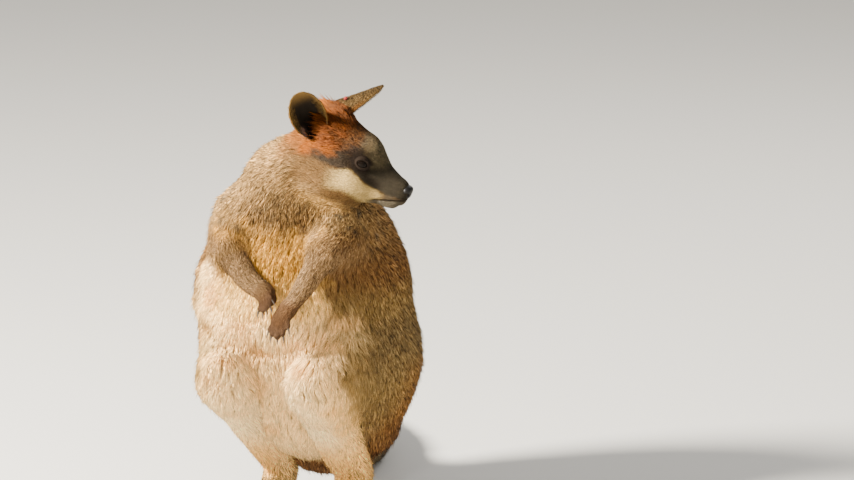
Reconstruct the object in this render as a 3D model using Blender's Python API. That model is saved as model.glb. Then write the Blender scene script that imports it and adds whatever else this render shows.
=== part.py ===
"""A life-size still model of a swamp wallaby, upright on its hind feet with its tail as a prop.

Lengths are in millimetres until MM turns them to metres. +Z is up, the body faces -Y and +X is its left.
Each solid reaches out to the tips of the coat.
"""

import math

import bmesh
import bpy
import numpy as np
from mathutils import Matrix, Vector

MM = 0.001
GAP = 0.3
FAR = 900.0

# Voxel sizes and triangle budgets of the soft shapes.
BODY_VOXEL = 6.0
BODY_TRIANGLES = 1380
HEAD_VOXEL = 3.0
HEAD_TRIANGLES = 820
HAND_VOXEL = 1.8
HAND_TRIANGLES = 110
FOOT_VOXEL = 2.8
FOOT_TRIANGLES = 120

# Trunk: horizontal sections as x, y, z, half width, half depth behind, half depth in front, pear, twist.
TRUNK = [
    (9, 88, 56, 52, 36, 58, 0.0, 0.0),
    (9, 84, 72, 76, 56, 96, 0.0, 0.0),
    (8, 76, 95, 87, 76, 126, 0.0, 0.0),
    (5, 53, 130, 103, 100, 126, 0.0, 0.0),
    (2, 27, 180, 114, 126, 128, 0.0, 0.0),
    (-2, 20, 230, 126, 132, 133, 0.0, 2.0),
    (-2, 18, 280, 126, 126, 126, 0.0, 5.0),
    (1, 14, 320, 112, 112, 110, 0.0, 7.0),
    (2, 8, 355, 94, 94, 92, 0.0, 8.0),
    (4, -2, 385, 76, 76, 72, 0.0, 8.0),
    (6, -10, 402, 58, 58, 54, 0.0, 8.0),
]

# Neck: the same columns, along its own axis.
NECK = [
    (0, -4, 330, 78, 78, 70, 0.0, 0.0),
    (4, -24, 372, 66, 66, 58, 0.0, 0.0),
    (10, -38, 400, 56, 56, 50, 0.0, 0.0),
    (20, -47, 416, 44, 44, 42, 0.0, 0.0),
    (32, -53, 427, 34, 34, 34, 0.0, 0.0),
]

# Head frame: the nose tip, the way the face points and the middle of the skull.
NOSE_TIP = (147.9, -42.0, 394.0)
HEAD_YAW = 98.0
HEAD_PITCH = 23.0
# Sections by distance behind the nose tip: top, bottom, half width, pear (below zero is wider low down).
HEAD = [
    (-1.0, 7.4, -18.5, 9.8, -0.05),
    (3.5, 9.8, -24.5, 12.0, -0.06),
    (8.0, 11.2, -26.5, 13.5, -0.08),
    (16.0, 14.6, -28.5, 15.0, -0.10),
    (26.0, 19.0, -29.5, 16.5, -0.12),
    (36.0, 27.5, -32.0, 20.0, -0.12),
    (46.0, 37.0, -37.0, 26.0, -0.10),
    (56.0, 42.5, -42.0, 31.0, -0.08),
    (67.0, 45.0, -46.5, 34.0, -0.08),
    (79.0, 49.0, -50.5, 36.0, -0.14),
    (92.0, 53.5, -53.0, 37.0, -0.16),
    (106.0, 55.5, -51.0, 36.0, -0.12),
    (118.0, 54.0, -42.0, 32.0, -0.05),
    (128.0, 46.0, -30.0, 25.0, 0.0),
]
EYE_BACK = 57.0
EYE_HEIGHT = 12.6
EYE_OUT = 20.8
EYE_RADIUS = 9.0
# Nose pad: distance behind the tip, height, then half its depth, width and height.
NOSE_PAD = (-0.5, -0.8, 7.0, 9.8, 8.4)

# Ears: the same leaf for both, and for each its base, its tip and the way its opening faces.
EAR_WIDTH = 41.5
EAR_THICKNESS = 3.0
EAR_SPREAD = 0.012
EAR_AT = (0.0, 0.15, 0.35, 0.5, 0.65, 0.8, 0.9, 0.97, 1.0)
EAR_HALF = (0.36, 0.62, 0.92, 1.0, 0.98, 0.82, 0.60, 0.34, 0.12)
EAR_WRAP = (150.0, 122.0, 88.0, 68.0, 52.0, 40.0, 32.0, 26.0, 22.0)
EARS = {
    "r": ((56.6, -77.5, 450.3), (45.5, -118.5, 510.7), (0.47, -0.85, -0.24)),
    "l": ((55.5, -30.3, 461.8), (110.9, -12.4, 507.6), (0.61, 0.20, -0.76)),
}
TAG_SPOT = (0.42, -0.30)
TAG_RADIUS = 2.6
TAG_HALF_THICKNESS = 2.0

# Limbs. Columns: x, y, z, half width, half height above and below, and pear where it has one.
THIGH_L = [
    (68, 84, 166, 50, 66, 66, 0.10),
    (76, 34, 182, 53, 76, 78, 0.10),
    (79, -16, 186, 42, 64, 64, 0.10),
    (73, -64, 184, 38, 50, 50, 0.05),
    (60, -96, 176, 33, 37, 38, 0.0),
]
THIGH_R = [
    (-58, 80, 168, 46, 66, 66, 0.12),
    (-63, 32, 184, 48, 76, 78, 0.14),
    (-66, -18, 188, 38, 64, 64, 0.14),
    (-60, -66, 186, 34, 50, 50, 0.10),
    (-52, -98, 178, 31, 37, 38, 0.0),
]
SHANK_L = [
    (58, -92, 166, 30, 31, 31),
    (56, -60, 130, 30, 29, 29),
    (54, -18, 94, 28, 28, 28),
    (51, 22, 62, 25, 26, 26),
    (50, 50, 40, 21, 23, 23),
]
SHANK_R = [
    (-51, -94, 168, 28, 30, 30),
    (-48, -60, 132, 27, 28, 28),
    (-44, -18, 95, 24, 26, 26),
    (-42, 22, 62, 20, 24, 24),
    (-42, 50, 40, 17, 22, 22),
]
# Feet: x is given for the left side and mirrored for the right.
FOOT = [
    (46, 62, 19, 14, 19, 22.5),
    (46, 46, 20, 16, 20, 23.5),
    (47, 20, 15, 16, 15, 18.5),
    (49, -20, 13, 16, 13, 16.5),
    (52, -60, 12, 16, 12, 15.5),
    (54, -86, 10, 13, 10, 13.5),
]
TOE_FOUR = [(54, -80, 10, 9.5, 9, 13.0), (57, -104, 8.5, 8.5, 8, 11.5), (59, -122, 7.5, 7, 6.5, 10.5)]
TOE_FIVE = [(63, -62, 8, 7, 7, 11.0), (69, -80, 7, 6.5, 6.5, 10.0), (72, -94, 6, 5.5, 5, 9.0)]
TOE_TWO = [(42, -58, 8, 6.5, 7, 11.0), (42, -74, 7, 5.5, 6, 10.0), (43, -86, 6, 4.8, 5, 9.0)]
FOOT_CLAWS = [
    ("four", (59.3, -123, 8.5), (60.8, -147, 2.6), 4.4),
    ("five", (72.3, -95, 7.0), (74.0, -111, 2.2), 3.1),
    ("three", (45.0, -87, 7.0), (45.8, -97.5, 2.2), 1.9),
    ("two", (40.6, -86.5, 7.0), (40.4, -97, 2.2), 1.9),
]
UPPER_ARM_R = [(-56, -36, 350, 30, 34, 34), (-58, -58, 336, 27, 29, 29), (-49, -84, 318, 19, 20, 20)]
UPPER_ARM_L = [(62, -34, 354, 30, 34, 34), (71, -58, 342, 26, 28, 28), (65, -84, 327, 19, 20, 20)]
FOREARM_R = [
    (-50, -84, 318, 16, 16.5, 16.5),
    (-21, -110, 293, 13.5, 14, 14),
    (6, -127, 282, 10, 10.5, 10.5),
]
FOREARM_L = [
    (66, -84, 327, 16, 16.5, 16.5),
    (56, -110, 299, 13, 13.5, 13.5),
    (48, -124, 281, 10.5, 11, 11),
    (38, -132, 266, 9, 9, 9),
]

# Hands: palm rows, then each digit as root, tip and radius; the claws follow the digits.
PALM_R = [(6, -127, 282, 10, 10, 10), (11, -131, 279, 10.5, 10, 10), (15, -135, 275, 10, 9, 9)]
DIGITS_R = [
    ((15, -138, 283), (21, -142, 278), 3.3),
    ((17, -140, 278), (20, -143, 270), 3.4),
    ((15, -141, 275), (15.5, -143, 265), 3.4),
    ((11, -139, 272), (10.5, -142, 262), 3.3),
    ((6.5, -136, 271), (4.5, -139, 263), 3.1),
]
PALM_L = [(38, -132, 266, 9, 9, 9), (33, -136, 258, 10.5, 8.5, 8.5), (29, -138, 251, 11, 8, 8)]
DIGITS_L = [
    ((40, -139, 256), (42, -143, 246), 3.1),
    ((35, -140, 249), (36, -144, 238), 3.2),
    ((30, -141, 247), (29, -144, 235), 3.3),
    ((25, -140, 248), (22, -143, 237), 3.2),
    ((22.5, -138, 250), (17.5, -141, 241), 3.0),
]
DIGIT_TAPER = 0.92
HAND_CLAW_LENGTH = 9.5
HAND_CLAW_RADIUS = 1.5
# Claws: where the sections lie along them, their share of the root's radius, and the way they droop.
CLAW_AT = (0.0, 0.45, 0.8, 1.0)
CLAW_SIZE = (1.0, 0.76, 0.42, 0.14)
DROOP = (0.0, 0.0, -1.0)

# Tail: along the floor, curving to the right. Columns: x, y, z, half width, up, down.
TAIL = [
    (0, 88, 116, 52, 54, 52),
    (0, 128, 82, 44, 45, 44),
    (-2, 168, 54, 37, 37, 37),
    (-6, 210, 37, 31, 30, 31),
    (-15, 262, 26, 27, 26, 27.0),
    (-38, 336, 22.5, 24, 23, 24.0),
    (-76, 414, 19.5, 21, 20, 21.0),
    (-124, 484, 16.5, 18, 17, 18.0),
    (-180, 542, 13.5, 14.5, 14, 15.0),
    (-218, 572, 10.0, 10.5, 10, 11.5),
]

# Rounded ends of a loft: where the rings lie, in degrees, and how far the pole stands out.
END_RINGS = (75.0, 52.0, 28.0)
POLE = 0.03

# Cut planes: a point and the way to the piece that is taken.
CUTTER = {"around": 12, "count": 5, "ends": (62.0, 30.0)}
ARM_ROOM = 6.0
LEG_ROOM = 9.0
HEAD_PLANE = ((73.0, -50.0, 377.0), (0.49, 0.0, 0.87))
NECK_PLANE = ((0.0, -5.0, 360.0), (0.10, -0.33, 0.94))
CHEST_PLANE = ((0.0, 0.0, 276.0), (0.0, -0.10, 0.99))
RUMP_PLANE = ((0.0, 0.0, 142.0), (0.0, 0.45, -0.89))
TAIL_TIP_PLANE = ((-110.0, 466.0, 17.0), (-0.57, 0.82, 0.0))
TAIL_MID_PLANE = ((-20.0, 278.0, 26.0), (-0.27, 0.96, 0.0))
TAIL_BASE_PLANE = ((0.0, 140.0, 74.0), (0.0, 0.80, -0.60))

# Materials: colour in sRGB hex and roughness.
COLOURS = {
    "coat_dark": ("5a4836", 0.9),
    "coat_grizzled": ("a08564", 0.9),
    "coat_buff": ("b98a52", 0.9),
    "nose_skin": ("2c2622", 0.45),
    "eye_dark": ("120c08", 0.12),
    "horn_dark": ("2a221c", 0.4),
    "stud_red": ("b23a2e", 0.4),
}


def linear(hex_colour):
    """sRGB hex to linear light."""
    parts = [int(hex_colour[k:k + 2], 16) / 255.0 for k in (0, 2, 4)]
    return [c / 12.92 if c <= 0.04045 else ((c + 0.055) / 1.055) ** 2.4 for c in parts]


def material(name):
    """A plain Principled material of its own from the table of colours."""
    made = bpy.data.materials.get(name)
    if made:
        return made
    colour, roughness = COLOURS[name]
    made = bpy.data.materials.new(name)
    made.use_nodes = True
    shader = made.node_tree.nodes["Principled BSDF"]
    shader.inputs["Base Color"].default_value = (*linear(colour), 1.0)
    shader.inputs["Roughness"].default_value = roughness
    return made


def unit(vector):
    """The vector at length one."""
    vector = np.asarray(vector, float)
    return vector / np.linalg.norm(vector)


def resample(rows, count):
    """Rows at even steps along the line of centres, by a cubic with finite-difference slopes."""
    rows = np.asarray(rows, float)
    steps = np.linalg.norm(np.diff(rows[:, :3], axis=0), axis=1)
    at = np.concatenate([[0.0], np.cumsum(steps)])
    slopes = np.gradient(rows, at, axis=0)
    want = np.linspace(0.0, at[-1], count)
    k = np.clip(np.searchsorted(at, want, side="right") - 1, 0, len(at) - 2)
    h = (at[k + 1] - at[k])[:, None]
    t = (want - at[k])[:, None] / h
    low, high = rows[k], rows[k + 1]
    return (
        (2 * t**3 - 3 * t**2 + 1) * low
        + (t**3 - 2 * t**2 + t) * h * slopes[k]
        + (3 * t**2 - 2 * t**3) * high
        + (t**3 - t**2) * h * slopes[k + 1]
    )


def loft(rows, side, around=28, count=24, normal=None, grow=0.0, cap=0.8, ends=END_RINGS, flat=()):
    """A closed tube through the rows with rounded ends, or flat where flat says so, as points and faces.

    Each section is side*width*cos(t)*(1 + pear*sin(t)) + third*height*sin(t), third = tangent x side.
    """
    rows = np.asarray(rows, float)
    rows = np.hstack([rows, np.zeros((len(rows), 8 - rows.shape[1]))])
    rows = resample(rows, count)
    centre = rows[:, :3]
    tangent = np.gradient(centre, axis=0)
    if normal is not None:
        tangent = np.tile(np.asarray(normal, float), (count, 1))
    tangent /= np.linalg.norm(tangent, axis=1)[:, None]
    turn = np.radians(rows[:, 7])
    hint = np.tile(np.asarray(side, float), (count, 1))
    hint = hint * np.cos(turn)[:, None] + np.cross(tangent, hint) * np.sin(turn)[:, None]
    across = hint - np.sum(hint * tangent, axis=1)[:, None] * tangent
    across /= np.linalg.norm(across, axis=1)[:, None]
    third = np.cross(tangent, across)
    sizes = rows[:, 3:6] + grow
    ends = np.radians(ends)
    first = [(0, -cap * math.sin(p), math.cos(p)) for p in ends]
    last = [(count - 1, cap * math.sin(p), math.cos(p)) for p in ends[::-1]]
    if "first" in flat:
        first = []
    if "last" in flat:
        last = [(count - 1, cap, 1.0)]
    order = first + [(k, 0.0, 1.0) for k in range(count)] + last
    which = np.array([o[0] for o in order])
    push = np.array([o[1] for o in order])
    scale = np.array([o[2] for o in order])
    reach = sizes[which].mean(axis=1)
    middle = centre[which] + tangent[which] * (push * reach)[:, None]
    t = np.linspace(0.0, 2.0 * math.pi, around, endpoint=False)
    wide = sizes[which, 0][:, None] * np.cos(t) * (1.0 + rows[which, 6][:, None] * np.sin(t))
    high = np.where(np.sin(t) > 0, sizes[which, 1][:, None], sizes[which, 2][:, None]) * np.sin(t)
    rings = (
        middle[:, None, :]
        + across[which][:, None, :] * (wide * scale[:, None])[:, :, None]
        + third[which][:, None, :] * (high * scale[:, None])[:, :, None]
    )
    start = middle[0] - tangent[0] * POLE * reach[0]
    end = middle[-1] + tangent[-1] * POLE * reach[-1]
    return closed_rings(rings, start, end)


def ring_quads(count, around):
    """The four-sided faces between rings that follow each other."""
    faces = []
    for k in range(count - 1):
        for j in range(around):
            a = k * around + j
            b = k * around + (j + 1) % around
            faces.append((a, b, b + around, a + around))
    return faces


def closed_rings(rings, start, end):
    """Points and faces of rings joined in a row and closed by a fan at each end."""
    count, around = rings.shape[:2]
    points = np.vstack([rings.reshape(-1, 3), start, end])
    faces = ring_quads(count, around)
    last = (count - 1) * around
    for j in range(around):
        faces.append((j, count * around, (j + 1) % around))
        faces.append((last + j, last + (j + 1) % around, count * around + 1))
    return points, faces


def closed_strips(rings):
    """Points and faces of flattened rings, each closed at the ends by a strip between its two halves."""
    count, around = rings.shape[:2]
    faces = ring_quads(count, around)
    last = (count - 1) * around
    for j in range(around // 2 - 1):
        faces.append((j, around - 1 - j, around - 2 - j, j + 1))
        faces.append((last + j, last + j + 1, last + around - 2 - j, last + around - 1 - j))
    return rings.reshape(-1, 3), faces


def mirrored(rows):
    """The rows of a left limb moved to the right side."""
    return [(-row[0], *row[1:]) for row in rows]


def joined(shapes):
    """Several (points, faces) as one."""
    points, faces, start = [], [], 0
    for some_points, some_faces in shapes:
        points.append(some_points)
        faces.extend(tuple(i + start for i in face) for face in some_faces)
        start += len(some_points)
    return np.vstack(points), faces


def mesh_object(name, points, faces, colour=None):
    """A mesh object in metres from points in millimetres, with its normals made to face out."""
    mesh = bpy.data.meshes.new(name)
    mesh.from_pydata((np.asarray(points) * MM).tolist(), [], faces)
    made = bmesh.new()
    made.from_mesh(mesh)
    bmesh.ops.recalc_face_normals(made, faces=made.faces)
    made.to_mesh(mesh)
    made.free()
    obj = bpy.data.objects.new(name, mesh)
    bpy.context.scene.collection.objects.link(obj)
    if colour:
        mesh.materials.append(material(colour))
    return obj


def settle(obj):
    """Takes the object's modifiers into its mesh."""
    graph = bpy.context.evaluated_depsgraph_get()
    mesh = bpy.data.meshes.new_from_object(obj.evaluated_get(graph), depsgraph=graph)
    obj.modifiers.clear()
    old = obj.data
    obj.data = mesh
    bpy.data.meshes.remove(old)
    return obj


def drop(obj):
    """Removes a helper."""
    bpy.data.objects.remove(obj)


def copy_of(obj, name):
    """A second object with its own mesh."""
    made = bpy.data.objects.new(name, obj.data.copy())
    bpy.context.scene.collection.objects.link(made)
    return made


def soft_union(name, shapes, voxel, triangles, colour, smooth=4):
    """The shapes as one voxel skin, smoothed and decimated."""
    obj = mesh_object(name, *joined(shapes), colour)
    remesh = obj.modifiers.new("union", "REMESH")
    remesh.mode = "VOXEL"
    remesh.voxel_size = voxel * MM
    smoothing = obj.modifiers.new("smooth", "SMOOTH")
    smoothing.factor = 0.5
    smoothing.iterations = smooth
    settle(obj)
    triangulate(obj)
    decimate = obj.modifiers.new("fewer", "DECIMATE")
    decimate.ratio = triangles / len(obj.data.polygons)
    settle(obj)
    return obj


def triangulate(obj):
    """Splits every face into triangles."""
    made = bmesh.new()
    made.from_mesh(obj.data)
    bmesh.ops.triangulate(made, faces=made.faces)
    made.to_mesh(obj.data)
    made.free()


def points_of(obj):
    """The object's points in metres."""
    points = np.empty(len(obj.data.vertices) * 3)
    obj.data.vertices.foreach_get("co", points)
    return points.reshape(-1, 3)


def boolean(obj, other, operation):
    """An exact Boolean, taken into the mesh, with only the largest body kept."""
    step = obj.modifiers.new("cut", "BOOLEAN")
    step.operation = operation
    step.solver = "EXACT"
    step.object = other
    settle(obj)
    tidy(obj)
    keep_largest(obj)
    return obj


def tidy(obj):
    """Welds points that lie together and drops faces that have no area."""
    made = bmesh.new()
    made.from_mesh(obj.data)
    bmesh.ops.remove_doubles(made, verts=made.verts, dist=0.02 * MM)
    bmesh.ops.dissolve_degenerate(made, dist=0.02 * MM, edges=made.edges)
    bmesh.ops.dissolve_limit(made, angle_limit=math.radians(0.6), verts=made.verts, edges=made.edges)
    bmesh.ops.triangulate(made, faces=made.faces)
    made.to_mesh(obj.data)
    made.free()


def keep_largest(obj):
    """Keeps the body with the greatest volume."""
    made = bmesh.new()
    made.from_mesh(obj.data)
    made.verts.ensure_lookup_table()
    left = set(made.verts)
    bodies = []
    while left:
        stack = [left.pop()]
        body = set(stack)
        while stack:
            for edge in stack.pop().link_edges:
                for vertex in edge.verts:
                    if vertex in left:
                        left.discard(vertex)
                        body.add(vertex)
                        stack.append(vertex)
        bodies.append(body)
    if len(bodies) > 1:
        def volume(body):
            faces = {face for vertex in body for face in vertex.link_faces}
            return sum(f.calc_area() * f.normal.dot(f.calc_center_median()) for f in faces)

        bodies.sort(key=lambda body: -abs(volume(body)))
        small = [vertex for body in bodies[1:] for vertex in body]
        bmesh.ops.delete(made, geom=small, context="VERTS")
        made.to_mesh(obj.data)
    made.free()


def half_space(point, towards, shift=0.0):
    """A big box whose one face is the plane through point, reaching the way it is told."""
    towards = unit(towards)
    hint = (1.0, 0.0, 0.0) if abs(towards[0]) < 0.8 else (0.0, 1.0, 0.0)
    side = unit(np.cross(towards, hint))
    third = np.cross(towards, side)
    base = np.asarray(point, float) + towards * shift
    corners = []
    for deep in (0.0, FAR):
        for a, b in ((-1, -1), (1, -1), (1, 1), (-1, 1)):
            corners.append(base + FAR * (a * side + b * third) + deep * towards)
    faces = [(3, 2, 1, 0), (4, 5, 6, 7), (0, 1, 5, 4), (1, 2, 6, 5), (2, 3, 7, 6), (3, 0, 4, 7)]
    return mesh_object("cutter", np.array(corners), faces)


def carve_plane(rest, name, plane):
    """Cuts a piece off the rest along a plane, with the gap between them, and returns it."""
    piece = copy_of(rest, name)
    inside = half_space(*plane, shift=GAP / 2)
    boolean(piece, inside, "INTERSECT")
    drop(inside)
    outside = half_space(*plane, shift=-GAP / 2)
    boolean(rest, outside, "DIFFERENCE")
    drop(outside)
    return piece


def carve_loft(rest, name, rows, side, grow, **how):
    """Cuts the piece inside a grown loft out of the rest, with the gap round it, and returns it."""
    piece = copy_of(rest, name)
    inside = mesh_object("cutter", *loft(rows, side, grow=grow, **CUTTER, **how))
    boolean(piece, inside, "INTERSECT")
    drop(inside)
    outside = mesh_object("cutter", *loft(rows, side, grow=grow + GAP, **CUTTER, **how))
    boolean(rest, outside, "DIFFERENCE")
    drop(outside)
    return piece


def grown(obj, amount):
    """A copy with each point moved out along its normal."""
    made = copy_of(obj, "cutter")
    points = points_of(obj)
    normals = np.empty(len(obj.data.vertices) * 3)
    obj.data.vertices.foreach_get("normal", normals)
    points += normals.reshape(-1, 3) * amount * MM
    made.data.vertices.foreach_set("co", points.ravel())
    made.data.update()
    return made


def fit_to(obj, other, gap=GAP):
    """Takes the other piece, grown by the gap, out of this one."""
    cutter = grown(other, gap)
    boolean(obj, cutter, "DIFFERENCE")
    drop(cutter)
    return obj


def floor_cut(obj):
    """Takes off what lies below the floor, which leaves a flat."""
    floor = half_space((0.0, 0.0, 0.0), (0.0, 0.0, -1.0))
    boolean(obj, floor, "DIFFERENCE")
    drop(floor)
    return obj


def head_axes():
    """Forward, up and left of the head."""
    yaw, pitch = math.radians(HEAD_YAW), math.radians(HEAD_PITCH)
    flat = np.array([math.sin(yaw), -math.cos(yaw), 0.0])
    forward = flat * math.cos(pitch) - np.array([0.0, 0.0, math.sin(pitch)])
    up = unit(np.array([0.0, 0.0, 1.0]) - forward[2] * forward)
    return forward, up, np.cross(up, forward)


def head_point(back, high, out=0.0):
    """A point of the head frame: behind the nose tip, above the axis, out to the left."""
    forward, up, left = head_axes()
    return np.asarray(NOSE_TIP) - back * forward + high * up + out * left


def head_shape():
    """The head's loft from the sections of its profile."""
    forward, _, left = head_axes()
    rows = []
    for back, top, bottom, half, pear in HEAD:
        middle, tall = (top + bottom) / 2, (top - bottom) / 2
        rows.append((*head_point(back, middle), half, tall, tall, pear, 0.0))
    return loft(rows, -left, count=30, normal=-forward, cap=0.35)


def body_shapes():
    """Every shape that is joined into the one soft body."""
    shapes = [
        loft(TRUNK, (1, 0, 0), around=40, count=36, normal=(0, 0, 1), cap=0.5),
        loft(NECK, (1, 0, 0), around=32, cap=0.5),
        head_shape(),
        loft(TAIL, (-1, 0, 0), count=60),
        loft(FOREARM_R, (0, 1, 0)),
        loft(FOREARM_L, (0, 1, 0)),
    ]
    for rows in (UPPER_ARM_R, UPPER_ARM_L, THIGH_L, THIGH_R, SHANK_L, SHANK_R):
        shapes.append(loft(rows, (1, 0, 0)))
    return shapes


def ellipsoid(centre, axes, radii, around=14, rings=7):
    """Points and faces of an ellipsoid on three axes."""
    centre, axes = np.asarray(centre, float), np.asarray(axes, float)
    lat = np.linspace(-math.pi / 2, math.pi / 2, rings + 2)[1:-1]
    t = np.linspace(0.0, 2.0 * math.pi, around, endpoint=False)
    rows = (
        centre
        + axes[0] * (radii[0] * np.sin(lat))[:, None, None]
        + axes[1] * (radii[1] * np.cos(lat)[:, None] * np.cos(t))[:, :, None]
        + axes[2] * (radii[2] * np.cos(lat)[:, None] * np.sin(t))[:, :, None]
    )
    return closed_rings(rows, centre - axes[0] * radii[0], centre + axes[0] * radii[0])


def eye_shape(sign, radius):
    """An eyeball; sign is 1 for the left."""
    forward, up, left = head_axes()
    out = unit(sign * left + 0.30 * forward)
    centre = head_point(EYE_BACK, EYE_HEIGHT, sign * EYE_OUT)
    return ellipsoid(centre, (out, up, np.cross(out, up)), (radius, radius, radius), 12, 6)


def ear_sheet(spot, s, b, lift):
    """Points of an ear: s runs from base to tip, b from -1 to 1 across, lift is the height behind the cup.

    point = base + axis*length*s + across*r*sin(a) - face*(r*cos(a) - r0*cos(wrap)), with a = b*wrap(s)
    and r = r0 + lift. The arc is nearly closed at the base and opens out above.
    """
    base, tip, face = (np.asarray(v, float) for v in spot)
    axis = unit(tip - base)
    face = unit(face - np.dot(face, axis) * axis)
    across = np.cross(axis, face)
    half = np.interp(s, EAR_AT, EAR_HALF) * EAR_WIDTH / 2
    wrap = np.radians(np.interp(s, EAR_AT, EAR_WRAP))
    radius = half / np.where(wrap > math.pi / 2, 1.0, np.sin(wrap))
    a = b * wrap
    r = radius + lift
    length = np.linalg.norm(tip - base) * (1.0 + EAR_SPREAD * lift / EAR_THICKNESS)
    return (
        base
        + axis * (length * s)[..., None]
        + across * (r * np.sin(a))[..., None]
        - face * (r * np.cos(a) - radius * np.cos(wrap))[..., None]
    )


def ear_shape(spot):
    """A cupped leaf with a front and a back sheet, closed round its rim."""
    s, b = np.meshgrid(np.linspace(0.0, 1.0, 8), np.linspace(-1.0, 1.0, 7), indexing="ij")
    inner = ear_sheet(spot, s, b, 0.0)
    outer = ear_sheet(spot, s, b, EAR_THICKNESS)
    return closed_strips(np.concatenate([outer, inner[:, ::-1]], axis=1))


def claw_shape(root, tip, radius, grow=0.0):
    """A curved cone from a flat root to a blunt tip, arched against its droop."""
    root, tip = np.asarray(root, float), np.asarray(tip, float)
    s = np.array(CLAW_AT)
    middle = root + (tip - root) * s[:, None] - np.asarray(DROOP) * (s * (1 - s) * radius)[:, None]
    axis = unit(tip - root)
    side = unit(np.cross(axis, (0.3, 0.2, 1.0)))
    third = np.cross(axis, side)
    size = radius * np.array(CLAW_SIZE) + grow
    t = np.linspace(0.0, 2.0 * math.pi, 6, endpoint=False)
    round_it = side * np.cos(t)[:, None] + third * np.sin(t)[:, None]
    rings = middle[:, None, :] + size[:, None, None] * round_it
    return closed_rings(rings, middle[0] - axis * grow, middle[-1] + axis * (0.12 * radius + grow))


def make_claw(name, part, root, tip, radius):
    """A claw, with room for it cut in the digit it grows from."""
    claw = mesh_object(name, *claw_shape(root, tip, radius), "horn_dark")
    room = mesh_object("cutter", *claw_shape(root, tip, radius, grow=GAP))
    boolean(part, room, "DIFFERENCE")
    drop(room)
    return claw


def digit(root, tip, radius):
    """A short digit between two points."""
    middle = np.add(root, tip) / 2
    end = radius * DIGIT_TAPER
    rows = [(*root, radius, radius, radius), (*middle, radius, radius, radius), (*tip, end, end, end)]
    return loft(rows, (1, 0.1, 0), around=12, count=6)


def make_hand(suffix, palm, digits):
    """Palm and five digits as one soft piece, with a claw at each digit."""
    shapes = [loft(palm, (1, 0, 0), around=20, count=10)]
    for root, tip, radius in digits:
        shapes.append(digit(root, tip, radius))
    hand = soft_union("hand_" + suffix, shapes, HAND_VOXEL, HAND_TRIANGLES, "coat_dark", smooth=2)
    for number, (root, tip, radius) in enumerate(digits, start=1):
        along = unit(np.subtract(tip, root) + np.array([0.0, 4.0, -5.0]))
        start = np.asarray(tip, float) + along * radius * 0.35
        end = start + along * HAND_CLAW_LENGTH
        make_claw(f"claw_hand_{suffix}{number}", hand, start, end, HAND_CLAW_RADIUS)
    return hand


def make_foot(suffix, turn):
    """The long foot with its big fourth toe, the fifth and the joined second and third."""
    shapes = [loft(turn(FOOT), (1, 0, 0), around=20, count=20)]
    for rows in (TOE_FOUR, TOE_FIVE, TOE_TWO):
        shapes.append(loft(turn(rows), (1, 0, 0), around=14, count=8))
    foot = soft_union("foot_" + suffix, shapes, FOOT_VOXEL, FOOT_TRIANGLES, "coat_dark", smooth=2)
    floor_cut(foot)
    for name, root, tip, radius in FOOT_CLAWS:
        root, tip = turn([root, tip])
        make_claw(f"claw_foot_{suffix}_{name}", foot, root, tip, radius)
    return foot


def ankle_plane(sign):
    """Where the shank ends on the foot."""
    return (sign * 45.0, 50.0, 36.0), (0.0, 0.45, -0.89)


def wrist_plane(rows):
    """Where the forearm ends on the hand."""
    rows = np.asarray(rows, float)
    end, before = rows[-1, :3], rows[-2, :3]
    return end - unit(end - before), unit(end - before)


def clear_scene():
    """Removes what the startup scene holds."""
    for obj in list(bpy.data.objects):
        bpy.data.objects.remove(obj)


def build_arm(body, suffix, upper, fore, palm, digits):
    """Cuts an arm from the body in two lengths and adds the hand."""
    point, towards = wrist_plane(fore)
    hand = make_hand(suffix, palm, digits)
    near = half_space(point, -towards, shift=-GAP / 2)
    boolean(hand, near, "DIFFERENCE")
    drop(near)
    arm = carve_loft(body, "forearm_" + suffix, fore, (0, 1, 0), ARM_ROOM, cap=1.2)
    far = half_space(point, towards, shift=-GAP / 2)
    boolean(arm, far, "DIFFERENCE")
    drop(far)
    carve_loft(body, "upper_arm_" + suffix, upper, (1, 0, 0), ARM_ROOM)


def build_leg(body, suffix, sign, thigh, shank_rows, turn):
    """Cuts a leg from the body in two lengths and adds the foot."""
    foot = make_foot(suffix, turn)
    ends = ("first", "last")
    shank = carve_loft(body, "shank_" + suffix, shank_rows, (1, 0, 0), LEG_ROOM, cap=0.6, flat=ends)
    carve_loft(body, "thigh_" + suffix, thigh, (1, 0, 0), LEG_ROOM, cap=1.1, flat=("last",))
    point, towards = ankle_plane(sign)
    below = half_space(point, towards, shift=-GAP / 2)
    boolean(shank, below, "DIFFERENCE")
    drop(below)
    fit_to(foot, shank)


def make_head():
    """The head from a finer skin than the body's, down to its cut."""
    shapes = [head_shape(), loft(NECK, (1, 0, 0), around=32, cap=0.5)]
    head = soft_union("head", shapes, HEAD_VOXEL, HEAD_TRIANGLES, "coat_grizzled", smooth=3)
    below = half_space(HEAD_PLANE[0], -np.asarray(HEAD_PLANE[1]), shift=-GAP / 2)
    boolean(head, below, "DIFFERENCE")
    drop(below)
    return head


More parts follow.
